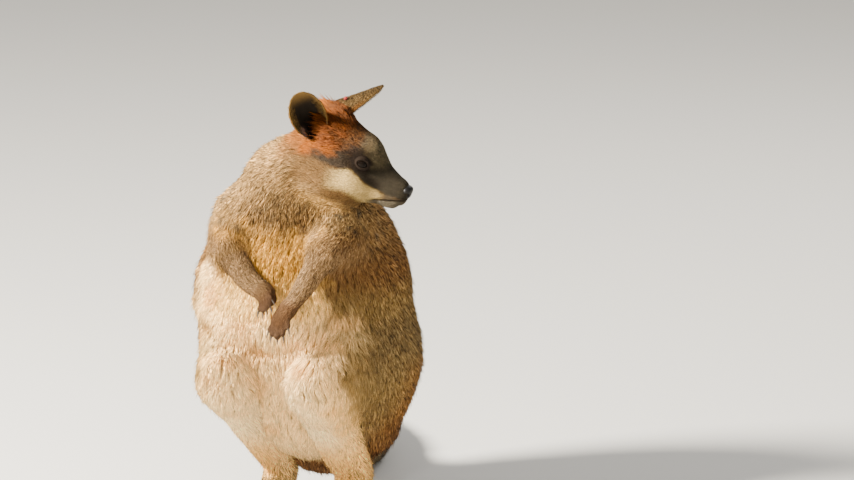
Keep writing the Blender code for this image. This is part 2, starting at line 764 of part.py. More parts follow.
def build_head(head):
    """Fits the nose, the eyes and the ears with the stud to the head."""
    forward, up, left = head_axes()
    back, high, deep, wide, tall = NOSE_PAD
    nose_at = head_point(back, high)
    axes = (forward, left, up)
    mesh_object("nose", *ellipsoid(nose_at, axes, (deep, wide, tall)), "nose_skin")
    outer = mesh_object("cutter", *ellipsoid(nose_at, axes, (deep + GAP, wide + GAP, tall + GAP)))
    boolean(head, outer, "DIFFERENCE")
    drop(outer)
    for suffix, sign in (("l", 1.0), ("r", -1.0)):
        mesh_object("eye_" + suffix, *eye_shape(sign, EYE_RADIUS), "eye_dark")
        socket = mesh_object("cutter", *eye_shape(sign, EYE_RADIUS + GAP))
        boolean(head, socket, "DIFFERENCE")
        drop(socket)
    ears = {}
    for suffix, spot in EARS.items():
        ears[suffix] = mesh_object("ear_" + suffix, *ear_shape(spot), "coat_dark")
        fit_to(ears[suffix], head)
    tag = mesh_object("ear_tag", *tag_shape(), "stud_red")
    fit_to(tag, ears["l"])


def tag_shape():
    """A short round stud on the back of the left ear."""
    s, b = np.array(TAG_SPOT[0]), np.array(TAG_SPOT[1])
    centre = ear_sheet(EARS["l"], s, b, EAR_THICKNESS)
    toward = unit(ear_sheet(EARS["l"], s, b, EAR_THICKNESS + 1.0) - centre)
    side = unit(np.cross(toward, (0, 0, 1)))
    centre = centre + toward * (TAG_HALF_THICKNESS * 0.5)
    size = (TAG_HALF_THICKNESS, TAG_RADIUS, TAG_RADIUS)
    return ellipsoid(centre, (toward, side, np.cross(toward, side)), size, 10, 3)


def finish():
    """Moves the model so that the middle of its box is over the origin, and shades it smooth."""
    nodes = [obj for obj in bpy.data.objects if obj.type == "MESH"]
    every = np.vstack([points_of(obj) for obj in nodes])
    low, high = every.min(axis=0), every.max(axis=0)
    shift = Vector((-(low[0] + high[0]) / 2, -(low[1] + high[1]) / 2, -low[2]))
    for obj in nodes:
        obj.data.transform(Matrix.Translation(shift))
        obj.data.shade_smooth()


def main():
    """Builds the whole animal."""
    clear_scene()
    body = soft_union("belly", body_shapes(), BODY_VOXEL, BODY_TRIANGLES, "coat_buff")
    floor_cut(body)
    build_head(make_head())
    above = half_space(*HEAD_PLANE, shift=-GAP / 2)
    boolean(body, above, "DIFFERENCE")
    drop(above)
    carve_plane(body, "neck", NECK_PLANE)
    build_arm(body, "l", UPPER_ARM_L, FOREARM_L, PALM_L, DIGITS_L)
    build_arm(body, "r", UPPER_ARM_R, FOREARM_R, PALM_R, DIGITS_R)
    build_leg(body, "l", 1.0, THIGH_L, SHANK_L, list)
    build_leg(body, "r", -1.0, THIGH_R, SHANK_R, mirrored)
    carve_plane(body, "tail_tip", TAIL_TIP_PLANE)
    carve_plane(body, "tail_mid", TAIL_MID_PLANE)
    carve_plane(body, "tail_base", TAIL_BASE_PLANE)
    carve_plane(body, "chest", CHEST_PLANE)
    carve_plane(body, "rump", RUMP_PLANE)
    finish()


main()
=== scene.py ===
"""A life-size still swamp wallaby: skin, coat, eyes, nose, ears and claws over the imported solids.

Shapes are worked out in millimetres in the body's own frame (+X the animal's left, -Y its front, +Z up)
and moved by ORIGIN, which comes from the eyes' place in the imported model.
"""

import itertools
import math

import bmesh
import bpy
import mathutils
import numpy as np
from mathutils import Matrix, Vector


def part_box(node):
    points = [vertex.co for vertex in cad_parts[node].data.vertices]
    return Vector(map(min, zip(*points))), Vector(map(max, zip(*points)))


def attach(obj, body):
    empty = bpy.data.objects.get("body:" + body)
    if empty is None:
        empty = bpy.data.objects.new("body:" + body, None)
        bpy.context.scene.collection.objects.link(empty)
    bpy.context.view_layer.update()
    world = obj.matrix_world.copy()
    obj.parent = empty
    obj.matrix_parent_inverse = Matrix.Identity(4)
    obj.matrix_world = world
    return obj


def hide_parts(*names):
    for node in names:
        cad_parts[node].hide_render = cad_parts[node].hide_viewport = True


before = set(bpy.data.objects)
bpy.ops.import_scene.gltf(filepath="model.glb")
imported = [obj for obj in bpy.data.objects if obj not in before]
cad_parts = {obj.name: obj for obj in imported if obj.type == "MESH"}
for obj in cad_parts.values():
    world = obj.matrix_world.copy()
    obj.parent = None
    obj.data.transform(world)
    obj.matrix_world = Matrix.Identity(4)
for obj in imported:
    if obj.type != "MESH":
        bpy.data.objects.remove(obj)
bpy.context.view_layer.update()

MM = 0.001
SEED = 11

# ---------------------------------------------------------------- small maths


def unit(v):
    """Vectors at length one, along the last axis."""
    v = np.asarray(v, float)
    return v / np.maximum(np.linalg.norm(v, axis=-1, keepdims=True), 1e-9)


def ramp(low, high, x):
    """A smooth step from 0 at low to 1 at high."""
    t = np.clip((np.asarray(x, float) - low) / (high - low), 0.0, 1.0)
    return t * t * (3.0 - 2.0 * t)


def bump(centre, width, x):
    """A bell of height one round the centre."""
    return np.exp(-(((np.asarray(x, float) - centre) / width) ** 2))


def mix(a, b, t):
    """a where t is 0 and b where it is 1, with t given for each row."""
    t = np.asarray(t, float)[..., None]
    return a * (1.0 - t) + b * t


def waves(points, size, seed):
    """Soft noise from -1 to 1 as a sum of sines in twelve directions, with a wavelength of about size."""
    rng = np.random.default_rng(seed)
    total = np.zeros(len(points))
    for _ in range(12):
        way = unit(rng.normal(size=3)) * 2.0 * math.pi / (size * rng.uniform(0.7, 1.5))
        total += np.sin(points @ way + rng.uniform(0.0, 2.0 * math.pi))
    return total / 4.2


def linear(hex_colour):
    """sRGB hex to linear light."""
    c = np.array([int(hex_colour[k:k + 2], 16) / 255.0 for k in (0, 2, 4)])
    return np.where(c <= 0.04045, c / 12.92, ((c + 0.055) / 1.055) ** 2.4)


# ---------------------------------------------------------------- the head's frame

HEAD_YAW, HEAD_PITCH = math.radians(98.0), math.radians(23.0)
NOSE_TIP = np.array([147.9, -42.0, 394.0])
NOSE_BACK, NOSE_HIGH, NOSE_SIZE = -0.5, -0.8, (6.7, 9.5, 8.1)
EYE_BACK, EYE_HEIGHT, EYE_OUT, EYE_RADIUS = 57.0, 12.6, 20.8, 9.0
FORWARD = np.array([
    math.sin(HEAD_YAW) * math.cos(HEAD_PITCH),
    -math.cos(HEAD_YAW) * math.cos(HEAD_PITCH),
    -math.sin(HEAD_PITCH),
])
UP = unit(np.array([0.0, 0.0, 1.0]) - FORWARD[2] * FORWARD)
LEFT = np.cross(UP, FORWARD)


def head_point(back, high, out=0.0):
    """A point behind the nose tip, above the head's axis and out to the left."""
    return NOSE_TIP - back * FORWARD + high * UP + out * LEFT


def head_coordinates(points):
    """(back, high, out) of points."""
    v = points - NOSE_TIP
    return -(v @ FORWARD), v @ UP, v @ LEFT


def box_middle(node):
    """The middle of a node's box, in millimetres."""
    low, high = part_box(node)
    return (np.array(low) + np.array(high)) / 2.0 / MM


ORIGIN = (box_middle("eye_l") + box_middle("eye_r")) / 2.0 - head_point(EYE_BACK, EYE_HEIGHT)

# ---------------------------------------------------------------- lofts

# Rows: x, y, z, half width, third half size up, and down, pear, twist in degrees, coat depth.
TRUNK = [
    (9, 88, 56, 52, 36, 58, 0, 0, 9),
    (9, 84, 72, 76, 56, 96, 0, 0, 10),
    (8, 76, 95, 87, 76, 126, 0, 0, 10),
    (5, 53, 130, 103, 100, 126, 0, 0, 10),
    (2, 27, 180, 114, 126, 128, 0, 0, 10),
    (-2, 20, 230, 126, 132, 133, 0, 2, 10),
    (-2, 18, 280, 126, 126, 126, 0, 5, 10),
    (1, 14, 320, 112, 112, 110, 0, 7, 11),
    (2, 8, 355, 94, 94, 92, 0, 8, 11),
    (4, -2, 385, 76, 76, 72, 0, 8, 11),
    (6, -10, 402, 58, 58, 54, 0, 8, 11),
]
NECK = [
    (0, -4, 330, 78, 78, 70, 0, 0, 12),
    (4, -24, 372, 66, 66, 58, 0, 0, 12),
    (10, -38, 400, 56, 56, 50, 0, 0, 11),
    (20, -47, 416, 44, 44, 42, 0, 0, 10),
    (32, -53, 427, 34, 34, 34, 0, 0, 9),
]
# Head sections: back, top, bottom, half width, pear, coat depth.
HEAD = [
    (-1.0, 7.4, -18.5, 9.8, -0.05, 0.8),
    (3.5, 9.8, -24.5, 12.0, -0.06, 0.8),
    (8.0, 11.2, -26.5, 13.5, -0.08, 0.8),
    (16.0, 14.6, -28.5, 15.0, -0.10, 0.9),
    (26.0, 19.0, -29.5, 16.5, -0.12, 1.2),
    (36.0, 27.5, -32.0, 20.0, -0.12, 1.7),
    (46.0, 37.0, -37.0, 26.0, -0.10, 2.2),
    (56.0, 42.5, -42.0, 31.0, -0.08, 2.8),
    (67.0, 45.0, -46.5, 34.0, -0.08, 3.6),
    (79.0, 49.0, -50.5, 36.0, -0.14, 4.8),
    (92.0, 53.5, -53.0, 37.0, -0.16, 6.2),
    (106.0, 55.5, -51.0, 36.0, -0.12, 7.6),
    (118.0, 54.0, -42.0, 32.0, -0.05, 8.6),
    (128.0, 46.0, -30.0, 25.0, 0.0, 9.0),
]
THIGH_L = [
    (68, 84, 166, 50, 66, 66, 0.10, 0, 10),
    (76, 34, 182, 53, 76, 78, 0.10, 0, 10),
    (79, -16, 186, 42, 64, 64, 0.10, 0, 9),
    (73, -64, 184, 38, 50, 50, 0.05, 0, 8),
    (60, -96, 176, 33, 37, 38, 0, 0, 7),
]
THIGH_R = [
    (-58, 80, 168, 46, 66, 66, 0.12, 0, 10),
    (-63, 32, 184, 48, 76, 78, 0.14, 0, 10),
    (-66, -18, 188, 38, 64, 64, 0.14, 0, 9),
    (-60, -66, 186, 34, 50, 50, 0.10, 0, 8),
    (-52, -98, 178, 31, 37, 38, 0, 0, 7),
]
SHANK_L = [
    (58, -92, 166, 30, 31, 31, 0, 0, 7),
    (56, -60, 130, 30, 29, 29, 0, 0, 7),
    (54, -18, 94, 28, 28, 28, 0, 0, 7),
    (51, 22, 62, 25, 26, 26, 0, 0, 6),
    (50, 50, 40, 21, 23, 23, 0, 0, 5),
]
SHANK_R = [
    (-51, -94, 168, 28, 30, 30, 0, 0, 7),
    (-48, -60, 132, 27, 28, 28, 0, 0, 7),
    (-44, -18, 95, 24, 26, 26, 0, 0, 7),
    (-42, 22, 62, 20, 24, 24, 0, 0, 6),
    (-42, 50, 40, 17, 22, 22, 0, 0, 5),
]
FOOT = [
    (46, 62, 19, 14, 19, 21.0, 0, 0, 2.5),
    (46, 46, 20, 16, 20, 22.0, 0, 0, 2.5),
    (47, 20, 15, 16, 15, 17.5, 0, 0, 2.5),
    (49, -20, 13, 16, 13, 15.5, 0, 0, 2.2),
    (52, -60, 12, 16, 12, 14.2, 0, 0, 2.0),
    (54, -86, 10, 13, 10, 12.0, 0, 0, 1.8),
]
TOE_FOUR = [
    (54, -80, 10, 9.5, 9, 12.0, 0, 0, 1.6),
    (57, -104, 8.5, 8.5, 8, 10.3, 0, 0, 1.4),
    (59, -122, 7.5, 7, 6.5, 9.0, 0, 0, 1.0),
]
TOE_FIVE = [
    (63, -62, 8, 7, 7, 9.6, 0, 0, 1.4),
    (69, -80, 7, 6.5, 6.5, 8.4, 0, 0, 1.2),
    (72, -94, 6, 5.5, 5, 7.2, 0, 0, 1.0),
]
TOE_TWO = [
    (42, -58, 8, 6.5, 7, 9.6, 0, 0, 1.4),
    (42, -74, 7, 5.5, 6, 8.4, 0, 0, 1.2),
    (43, -86, 6, 4.8, 5, 7.2, 0, 0, 1.0),
]
UPPER_ARM_R = [
    (-56, -36, 350, 30, 34, 34, 0, 0, 9),
    (-58, -58, 336, 27, 29, 29, 0, 0, 8),
    (-49, -84, 318, 19, 20, 20, 0, 0, 5),
]
UPPER_ARM_L = [
    (62, -34, 354, 30, 34, 34, 0, 0, 9),
    (71, -58, 342, 26, 28, 28, 0, 0, 8),
    (65, -84, 327, 19, 20, 20, 0, 0, 5),
]
FOREARM_R = [
    (-50, -84, 318, 16, 16.5, 16.5, 0, 0, 4),
    (-21, -110, 293, 13.5, 14, 14, 0, 0, 3),
    (6, -127, 282, 10, 10.5, 10.5, 0, 0, 1.6),
]
FOREARM_L = [
    (66, -84, 327, 16, 16.5, 16.5, 0, 0, 4),
    (56, -110, 299, 13, 13.5, 13.5, 0, 0, 3),
    (48, -124, 281, 10.5, 11, 11, 0, 0, 2),
    (38, -132, 266, 9, 9, 9, 0, 0, 1.4),
]
PALM_R = [
    (6, -127, 282, 10, 10, 10, 0, 0, 1.2),
    (11, -131, 279, 10.5, 10, 10, 0, 0, 1.0),
    (15, -135, 275, 10, 9, 9, 0, 0, 1.0),
]
PALM_L = [
    (38, -132, 266, 9, 9, 9, 0, 0, 1.2),
    (33, -136, 258, 10.5, 8.5, 8.5, 0, 0, 1.0),
    (29, -138, 251, 11, 8, 8, 0, 0, 1.0),
]
# Digits: root, tip, radius.
DIGITS_R = [
    ((15, -138, 283), (21, -142, 278), 3.3),
    ((17, -140, 278), (20, -143, 270), 3.4),
    ((15, -141, 275), (15.5, -143, 265), 3.4),
    ((11, -139, 272), (10.5, -142, 262), 3.3),
    ((6.5, -136, 271), (4.5, -139, 263), 3.1),
]
DIGITS_L = [
    ((40, -139, 256), (42, -143, 246), 3.1),
    ((35, -140, 249), (36, -144, 238), 3.2),
    ((30, -141, 247), (29, -144, 235), 3.3),
    ((25, -140, 248), (22, -143, 237), 3.2),
    ((22.5, -138, 250), (17.5, -141, 241), 3.0),
]
TAIL = [
    (0, 88, 116, 52, 54, 52, 0, 0, 10),
    (0, 128, 82, 44, 45, 44, 0, 0, 9),
    (-2, 168, 54, 37, 37, 37, 0, 0, 8),
    (-6, 210, 37, 31, 30, 31, 0, 0, 7),
    (-15, 262, 26, 27, 26, 27.0, 0, 0, 6),
    (-38, 336, 22.5, 24, 23, 24.0, 0, 0, 5.5),
    (-76, 414, 19.5, 21, 20, 21.0, 0, 0, 5),
    (-124, 484, 16.5, 18, 17, 18.0, 0, 0, 4.5),
    (-180, 542, 13.5, 14.5, 14, 15.0, 0, 0, 4),
    (-218, 572, 10.0, 10.5, 10, 11.5, 0, 0, 3.5),
]


def head_rows():
    """The head's sections as loft rows."""
    return [
        (*head_point(back, (top + bottom) / 2), half, *[(top - bottom) / 2] * 2, pear, 0, depth)
        for back, top, bottom, half, pear, depth in HEAD
    ]


def digit_rows(root, tip, radius):
    """A digit as loft rows."""
    middle = np.add(root, tip) / 2
    return [
        (*root, radius, radius, radius, 0, 0, 0.7),
        (*middle, radius, radius, radius, 0, 0, 0.6),
        (*tip, radius * 0.92, radius * 0.92, radius * 0.92, 0, 0, 0.5),
    ]


def mirrored(rows):
    """The rows of a left limb moved to the right side."""
    return [(-row[0], *row[1:]) for row in rows]


def resample(rows, count):
    """Rows at even steps along the line of centres, by a cubic with finite-difference slopes."""
    rows = np.asarray(rows, float)
    steps = np.linalg.norm(np.diff(rows[:, :3], axis=0), axis=1)
    at = np.concatenate([[0.0], np.cumsum(steps)])
    slopes = np.gradient(rows, at, axis=0)
    want = np.linspace(0.0, at[-1], count)
    k = np.clip(np.searchsorted(at, want, side="right") - 1, 0, len(at) - 2)
    h = (at[k + 1] - at[k])[:, None]
    t = (want - at[k])[:, None] / h
    return (
        (2 * t**3 - 3 * t**2 + 1) * rows[k]
        + (t**3 - 2 * t**2 + t) * h * slopes[k]
        + (3 * t**2 - 2 * t**3) * rows[k + 1]
        + (t**3 - t**2) * h * slopes[k + 1]
    )


# How much of its full depth the coat keeps as it lies, and the least half size of the skin under it.
COAT_LIES, THINNEST = 0.72, 0.4


def carry(rows, side, count, normal=None):
    """The axes of a loft: centres, tangents, sideways and third axes, sizes, pear and coat depth."""
    rows = resample(rows, count)
    centre = rows[:, :3]
    tangent = unit(np.gradient(centre, axis=0))
    if normal is not None:
        tangent = np.tile(unit(normal), (count, 1))
    turn = np.radians(rows[:, 7:8])
    hint = np.tile(np.asarray(side, float), (count, 1))
    hint = hint * np.cos(turn) + np.cross(tangent, hint) * np.sin(turn)
    across = unit(hint - np.sum(hint * tangent, axis=1, keepdims=True) * tangent)
    return {
        "centre": centre,
        "step": np.linalg.norm(np.diff(centre, axis=0), axis=1).mean(),
        "level": normal is not None,
        "tangent": tangent,
        "across": across,
        "third": np.cross(tangent, across),
        "size": rows[:, 3:6],
        "pear": rows[:, 6],
        "depth": rows[:, 8] * COAT_LIES,
    }


def band_faces(count, around, closed=False):
    """Quads between each ring of points and the next, and from the last to the first of a closed band."""
    k, j = np.meshgrid(np.arange(count if closed else count - 1), np.arange(around), indexing="ij")
    here, there, on = k * around, (k + 1) % count * around, (j + 1) % around
    return np.stack([here + j, here + on, there + on, there + j], axis=-1).reshape(-1, 4)


def ring_faces(count, around):
    """Quads between rows of rings, and a fan to one point at each end, whose indices follow the rings."""
    j = np.arange(around)
    last = (count - 1) * around
    first_fan = np.stack([j, np.full(around, count * around), (j + 1) % around], axis=-1)
    last_fan = np.stack([last + j, last + (j + 1) % around, np.full(around, count * around + 1)], axis=-1)
    return band_faces(count, around), np.vstack([first_fan, last_fan])


def tube(part, around, cap):
    """A closed tube in the coat: each ring is side*width*cos(t)*(1 + pear*sin(t)) + third*height*sin(t).

    Sizes are smaller by the coat's depth, and the ends are rounded by rings that shrink as cos(bend).
    """
    count = len(part["centre"])
    bend = np.radians([80.0, 65.0, 48.0, 30.0, 14.0])
    extra = len(bend)
    which = np.concatenate([np.zeros(extra, int), np.arange(count), np.full(extra, count - 1)])
    push = np.concatenate([-np.sin(bend), np.zeros(count), np.sin(bend[::-1])]) * cap
    scale = np.concatenate([np.cos(bend), np.ones(count), np.cos(bend[::-1])])
    size = np.maximum(part["size"] - part["depth"][:, None], THINNEST)[which]
    middle = part["centre"][which] + part["tangent"][which] * (push * size.mean(axis=1))[:, None]
    t = np.linspace(0.0, 2.0 * math.pi, around, endpoint=False)
    wide = size[:, :1] * np.cos(t) * (1.0 + part["pear"][which][:, None] * np.sin(t))
    high = np.where(np.sin(t) > 0, size[:, 1:2], size[:, 2:3]) * np.sin(t)
    rings = (
        middle[:, None, :]
        + part["across"][which][:, None, :] * (wide * scale[:, None])[:, :, None]
        + part["third"][which][:, None, :] * (high * scale[:, None])[:, :, None]
    )
    reach = size.mean(axis=1)
    ends = np.stack([
        part["centre"][0] - part["tangent"][0] * cap * reach[0],
        part["centre"][-1] + part["tangent"][-1] * cap * reach[-1],
    ])
    quads, fans = ring_faces(len(which), around)
    return np.vstack([rings.reshape(-1, 3), ends]), quads, fans


X, Y, Z = np.eye(3)


def body_parts():
    """Every loft of the body, with its axes and what the coat and the markings need.

    The table's columns: name, rows, sideways axis, rings, normal of level rings, rounding of the ends,
    which way the hair runs along it, its length, coat region, and how softly markings blend at its edges.
    """
    table = [
        ("trunk", TRUNK, X, 40, Z, 0.5, -1.0, 12.5, "trunk", 16.0),
        ("neck", NECK, X, 24, None, 0.5, -1.0, 10.5, "neck", 16.0),
        ("head", head_rows(), -LEFT, 40, -FORWARD, 0.35, 1.0, 0.0, "head", 9.0),
        ("tail", TAIL, -X, 60, None, 0.8, 1.0, 12.5, "tail", 12.0),
    ]
    for suffix, sign, thigh, shank, arm, fore, palm in (
        ("l", 1.0, THIGH_L, SHANK_L, UPPER_ARM_L, FOREARM_L, PALM_L),
        ("r", -1.0, THIGH_R, SHANK_R, UPPER_ARM_R, FOREARM_R, PALM_R),
    ):
        turn = list if sign > 0 else mirrored
        leg = "leg_" + suffix
        table += [
            ("thigh_" + suffix, thigh, X, 24, None, 0.8, 0.0, 14.0, leg, 16.0),
            ("shank_" + suffix, shank, X, 24, None, 0.8, 1.0, 10.5, leg, 10.0),
            ("foot_" + suffix, turn(FOOT), X, 24, None, 0.8, 1.0, 5.0, "feet", 5.0),
            ("toe_four_" + suffix, turn(TOE_FOUR), X, 10, None, 0.8, 1.0, 3.2, "feet", 2.0),
            ("toe_five_" + suffix, turn(TOE_FIVE), X, 10, None, 0.8, 1.0, 3.2, "feet", 2.0),
            ("toe_two_" + suffix, turn(TOE_TWO), X, 10, None, 0.8, 1.0, 3.2, "feet", 2.0),
            ("upper_arm_" + suffix, arm, X, 20, None, 0.8, 1.0, 11.0, "arms", 13.0),
            ("forearm_" + suffix, fore, Y, 24, None, 0.8, 1.0, 6.5, "arms", 6.0),
            ("palm_" + suffix, palm, X, 10, None, 0.8, 1.0, 3.0, "arms", 3.0),
        ]
        for number, digit in enumerate(DIGITS_L if sign > 0 else DIGITS_R):
            rows = digit_rows(*digit)
            side = unit([1.0, 0.1, 0.0])
            table.append((f"digit_{number}_{suffix}", rows, side, 6, None, 0.8, 1.0, 1.8, "arms", 1.5))
    parts = []
    for name, rows, side, count, normal, cap, flow, hair, region, soft in table:
        part = carry(rows, side, count, normal)
        part.update(name=name, cap=cap, flow=flow, hair=hair, region=region, soft=soft)
        parts.append(part)
    return parts


def chains():
    """Parts that run into each other, each with the width over which it joins those before it."""
    core = {"trunk": 0.0, "neck": 24.0, "tail": 50.0, "thigh_l": 26.0, "thigh_r": 26.0, "upper_arm_l": 30.0,
            "upper_arm_r": 30.0, "head": 24.0}
    found = [core]
    for s in ("l", "r"):
        leg = {f"thigh_{s}": 0.0, f"shank_{s}": 36.0, f"foot_{s}": 20.0}
        toes = {f"toe_four_{s}": 5.0, f"toe_five_{s}": 5.0, f"toe_two_{s}": 5.0}
        arm = {f"upper_arm_{s}": 0.0, f"forearm_{s}": 20.0, f"palm_{s}": 8.0}
        digits = {f"digit_{k}_{s}": 2.0 for k in range(5)}
        found += [{**leg, **toes}, {**arm, **digits}]
    return found


def section(part, points):
    """Where points lie against a loft: gap to it, way out, its tangent, place along it and angle round it.

    With a, b across the axis and c past an end, rho = |(a/wide, b/high, c/(cap*mean))| and
    gap = (rho - 1)*|(a, b, c)|/rho.
    """
    last = len(part["centre"]) - 1
    if part["level"]:
        way = part["tangent"][0]
        along = np.interp(points @ way, part["centre"] @ way, np.arange(last + 1.0))
    else:
        square = (part["centre"] ** 2).sum(axis=1) - 2.0 * points @ part["centre"].T
        k = square.argmin(axis=1)
        ahead = np.sum((points - part["centre"][k]) * part["tangent"][k], axis=1)
        along = np.clip(k + ahead / part["step"], 0.0, last)
    k = np.minimum(along.astype(int), last - 1)
    f = along - k

    def here(key):
        return mix(part[key][k], part[key][k + 1], f)

    depth = part["depth"][k] * (1.0 - f) + part["depth"][k + 1] * f
    pear = part["pear"][k] * (1.0 - f) + part["pear"][k + 1] * f
    size = np.maximum(here("size") - depth[:, None], THINNEST)
    across, third, tangent = here("across"), here("third"), here("tangent")
    v = points - here("centre")
    a, b, c = (np.sum(v * axis, axis=1) for axis in (across, third, tangent))
    c = np.where((along <= 0.0) | (along >= last), c, 0.0)
    high = np.where(b > 0.0, size[:, 1], size[:, 2])
    wide = size[:, 0] * (1.0 + pear * np.clip(b / high, -1.0, 1.0))
    end = part["cap"] * size.mean(axis=1)
    rho = np.maximum(np.sqrt((a / wide) ** 2 + (b / high) ** 2 + (c / end) ** 2), 1e-3)
    gap = (rho - 1.0) * np.sqrt(a * a + b * b + c * c) / rho
    slope = across * (a / wide**2)[:, None] + third * (b / high**2)[:, None]
    slope = unit(slope + tangent * (c / end**2)[:, None])
    return gap, slope, tangent, along / last, np.arctan2(b, a)


# The soft union: how near a loft has to be to count, the gap to any other, and the limits of one step.
NEAR, FAR = 60.0, 200.0
LEAST_SLOPE, LONGEST_STEP = 0.35, 10.0


def near_part(part, points, margin):
    """Which points are in a loft's box with a margin round it."""
    reach = part["size"].max(axis=1)[:, None] + margin
    low, high = (part["centre"] - reach).min(axis=0), (part["centre"] + reach).max(axis=0)
    return np.flatnonzero(np.all((points > low) & (points < high), axis=1))


def pull(points, parts):
    """One Newton step towards the zero surface of the soft union.

    Two gaps p, q join over a width w as q + (p - q)*h - w*h*(1 - h), with h = 1/2 + (q - p)/(2w) in 0..1.
    """
    gaps, slopes = {}, {}
    for part in parts:
        near = near_part(part, points, NEAR)
        gap, slope = np.full(len(points), FAR), np.zeros_like(points)
        gap[near], slope[near] = section(part, points[near])[:2]
        gaps[part["name"]], slopes[part["name"]] = gap, slope
    best, way = np.full(len(points), np.inf), np.zeros_like(points)
    for chain in chains():
        total, lean = None, None
        for name, width in chain.items():
            if total is None:
                total, lean = gaps[name], slopes[name]
                continue
            h = np.clip(0.5 + 0.5 * (total - gaps[name]) / width, 0.0, 1.0)
            total = total + (gaps[name] - total) * h - width * h * (1.0 - h)
            lean = mix(lean, slopes[name], h)
        closer = total < best
        best[closer] = total[closer]
        way[closer] = lean[closer]
    square = np.maximum((way**2).sum(axis=1), LEAST_SLOPE)
    return points - way * np.clip(best / square, -LONGEST_STEP, LONGEST_STEP)[:, None]


# ---------------------------------------------------------------- meshes


def mesh_object(name, points, faces, smooth=True):
    """A mesh object in metres from points in the body's millimetres; faces is a list of index arrays."""
    mesh = bpy.data.meshes.new(name)
    points = (np.asarray(points, float) + ORIGIN) * MM
    mesh.vertices.add(len(points))
    mesh.vertices.foreach_set("co", points.astype(np.float32).ravel())
    corners = np.concatenate([f.ravel() for f in faces]).astype(np.int32)
    sizes = np.concatenate([np.full(len(f), f.shape[1]) for f in faces])
    mesh.loops.add(len(corners))
    mesh.loops.foreach_set("vertex_index", corners)
    mesh.polygons.add(len(sizes))
    starts = np.concatenate([[0], np.cumsum(sizes)[:-1]]).astype(np.int32)
    mesh.polygons.foreach_set("loop_start", starts)
    mesh.polygons.foreach_set("use_smooth", np.full(len(sizes), smooth))
    mesh.update(calc_edges=True)
    mesh.validate()
    obj = bpy.data.objects.new(name, mesh)
    bpy.context.scene.collection.objects.link(obj)
    return obj


def points_of(obj):
    """The object's points in the body's millimetres."""
    points = np.empty(len(obj.data.vertices) * 3, np.float32)
    obj.data.vertices.foreach_get("co", points)
    return points.reshape(-1, 3).astype(float) / MM - ORIGIN


def set_points(obj, points):
    """Moves the object's points."""
    obj.data.vertices.foreach_set("co", ((points + ORIGIN) * MM).astype(np.float32).ravel())
    obj.data.update()


def normals_of(obj):
    """The object's point normals."""
    normals = np.empty(len(obj.data.vertices) * 3, np.float32)
    obj.data.vertices.foreach_get("normal", normals)
    return normals.reshape(-1, 3).astype(float)


def triangles_of(obj):
    """The object's triangles as an index array."""
    obj.data.calc_loop_triangles()
    faces = np.empty(len(obj.data.loop_triangles) * 3, np.int32)
    obj.data.loop_triangles.foreach_get("vertices", faces)
    return faces.reshape(-1, 3)


def settle(obj):
    """Takes the object's modifiers into its mesh."""
    graph = bpy.context.evaluated_depsgraph_get()
    mesh = bpy.data.meshes.new_from_object(obj.evaluated_get(graph), depsgraph=graph)
    obj.modifiers.clear()
    old = obj.data
    obj.data = mesh
    bpy.data.meshes.remove(old)


def paint(obj, colours):
    """Stores a linear colour for each point, as the attribute that the coat's materials read."""
    layer = obj.data.color_attributes.new("markings", "FLOAT_COLOR", "POINT")
    opaque = np.hstack([colours, np.ones((len(colours), 1))])
    layer.data.foreach_set("color", opaque.astype(np.float32).ravel())


def bake_map(obj, places):
    """Stores each point's place in the bake map."""
    layer = obj.data.uv_layers.new(name="OFBake")
    corners = np.empty(len(obj.data.loops), np.int32)
    obj.data.loops.foreach_get("vertex_index", corners)
    layer.data.foreach_set("uv", places[corners].astype(np.float32).ravel())


# ---------------------------------------------------------------- the ears' rolled leaves

EAR_WIDTH, EAR_THICK, EAR_FUR = 41.5, 1.5, 1.0
EAR_AT = (0.0, 0.15, 0.35, 0.5, 0.65, 0.8, 0.9, 0.97, 1.0)
EAR_HALF = (0.36, 0.62, 0.92, 1.0, 0.98, 0.82, 0.60, 0.34, 0.12)
EAR_WRAP = (150.0, 122.0, 88.0, 68.0, 52.0, 40.0, 32.0, 26.0, 22.0)
# Base, tip and the way that the hollow faces.
EARS = {
    "r": ((56.6, -77.5, 450.3), (45.5, -118.5, 510.7), (0.47, -0.85, -0.24)),
    "l": ((55.5, -30.3, 461.8), (110.9, -12.4, 507.6), (0.61, 0.20, -0.76)),
}


def ear_frame(side):
    """An ear's base, its length, and its axes: along it, across it and out of its face."""
    base, tip, face = (np.asarray(v, float) for v in EARS[side])
    axis = unit(tip - base)
    face = unit(face - np.dot(face, axis) * axis)
    return base, np.linalg.norm(tip - base), axis, np.cross(axis, face), face


def ear_roll(s):
    """The half width of an ear's leaf at s from base to tip, half the angle of its roll, and its radius."""
    half = np.interp(s, EAR_AT, EAR_HALF) * (EAR_WIDTH / 2.0 - EAR_FUR)
    wrap = np.radians(np.interp(s, EAR_AT, EAR_WRAP))
    return half, wrap, half / np.where(wrap > math.pi / 2, 1.0, np.sin(wrap))


# ---------------------------------------------------------------- skin

UNION_VOXEL = 2.6
SKIN_VOXEL = 1.5
SKIN_TRIANGLES = 170000
UNION_STEPS = 4


def eye_frame(sign):
    """Centre, outward, upward and forward axes of an eye; sign is 1 for the left."""
    out = unit(sign * LEFT + 0.30 * FORWARD + 0.05 * UP)
    up = unit(UP - np.dot(UP, out) * out)
    return head_point(EYE_BACK, EYE_HEIGHT, sign * EYE_OUT), out, up, np.cross(up, out) * -sign


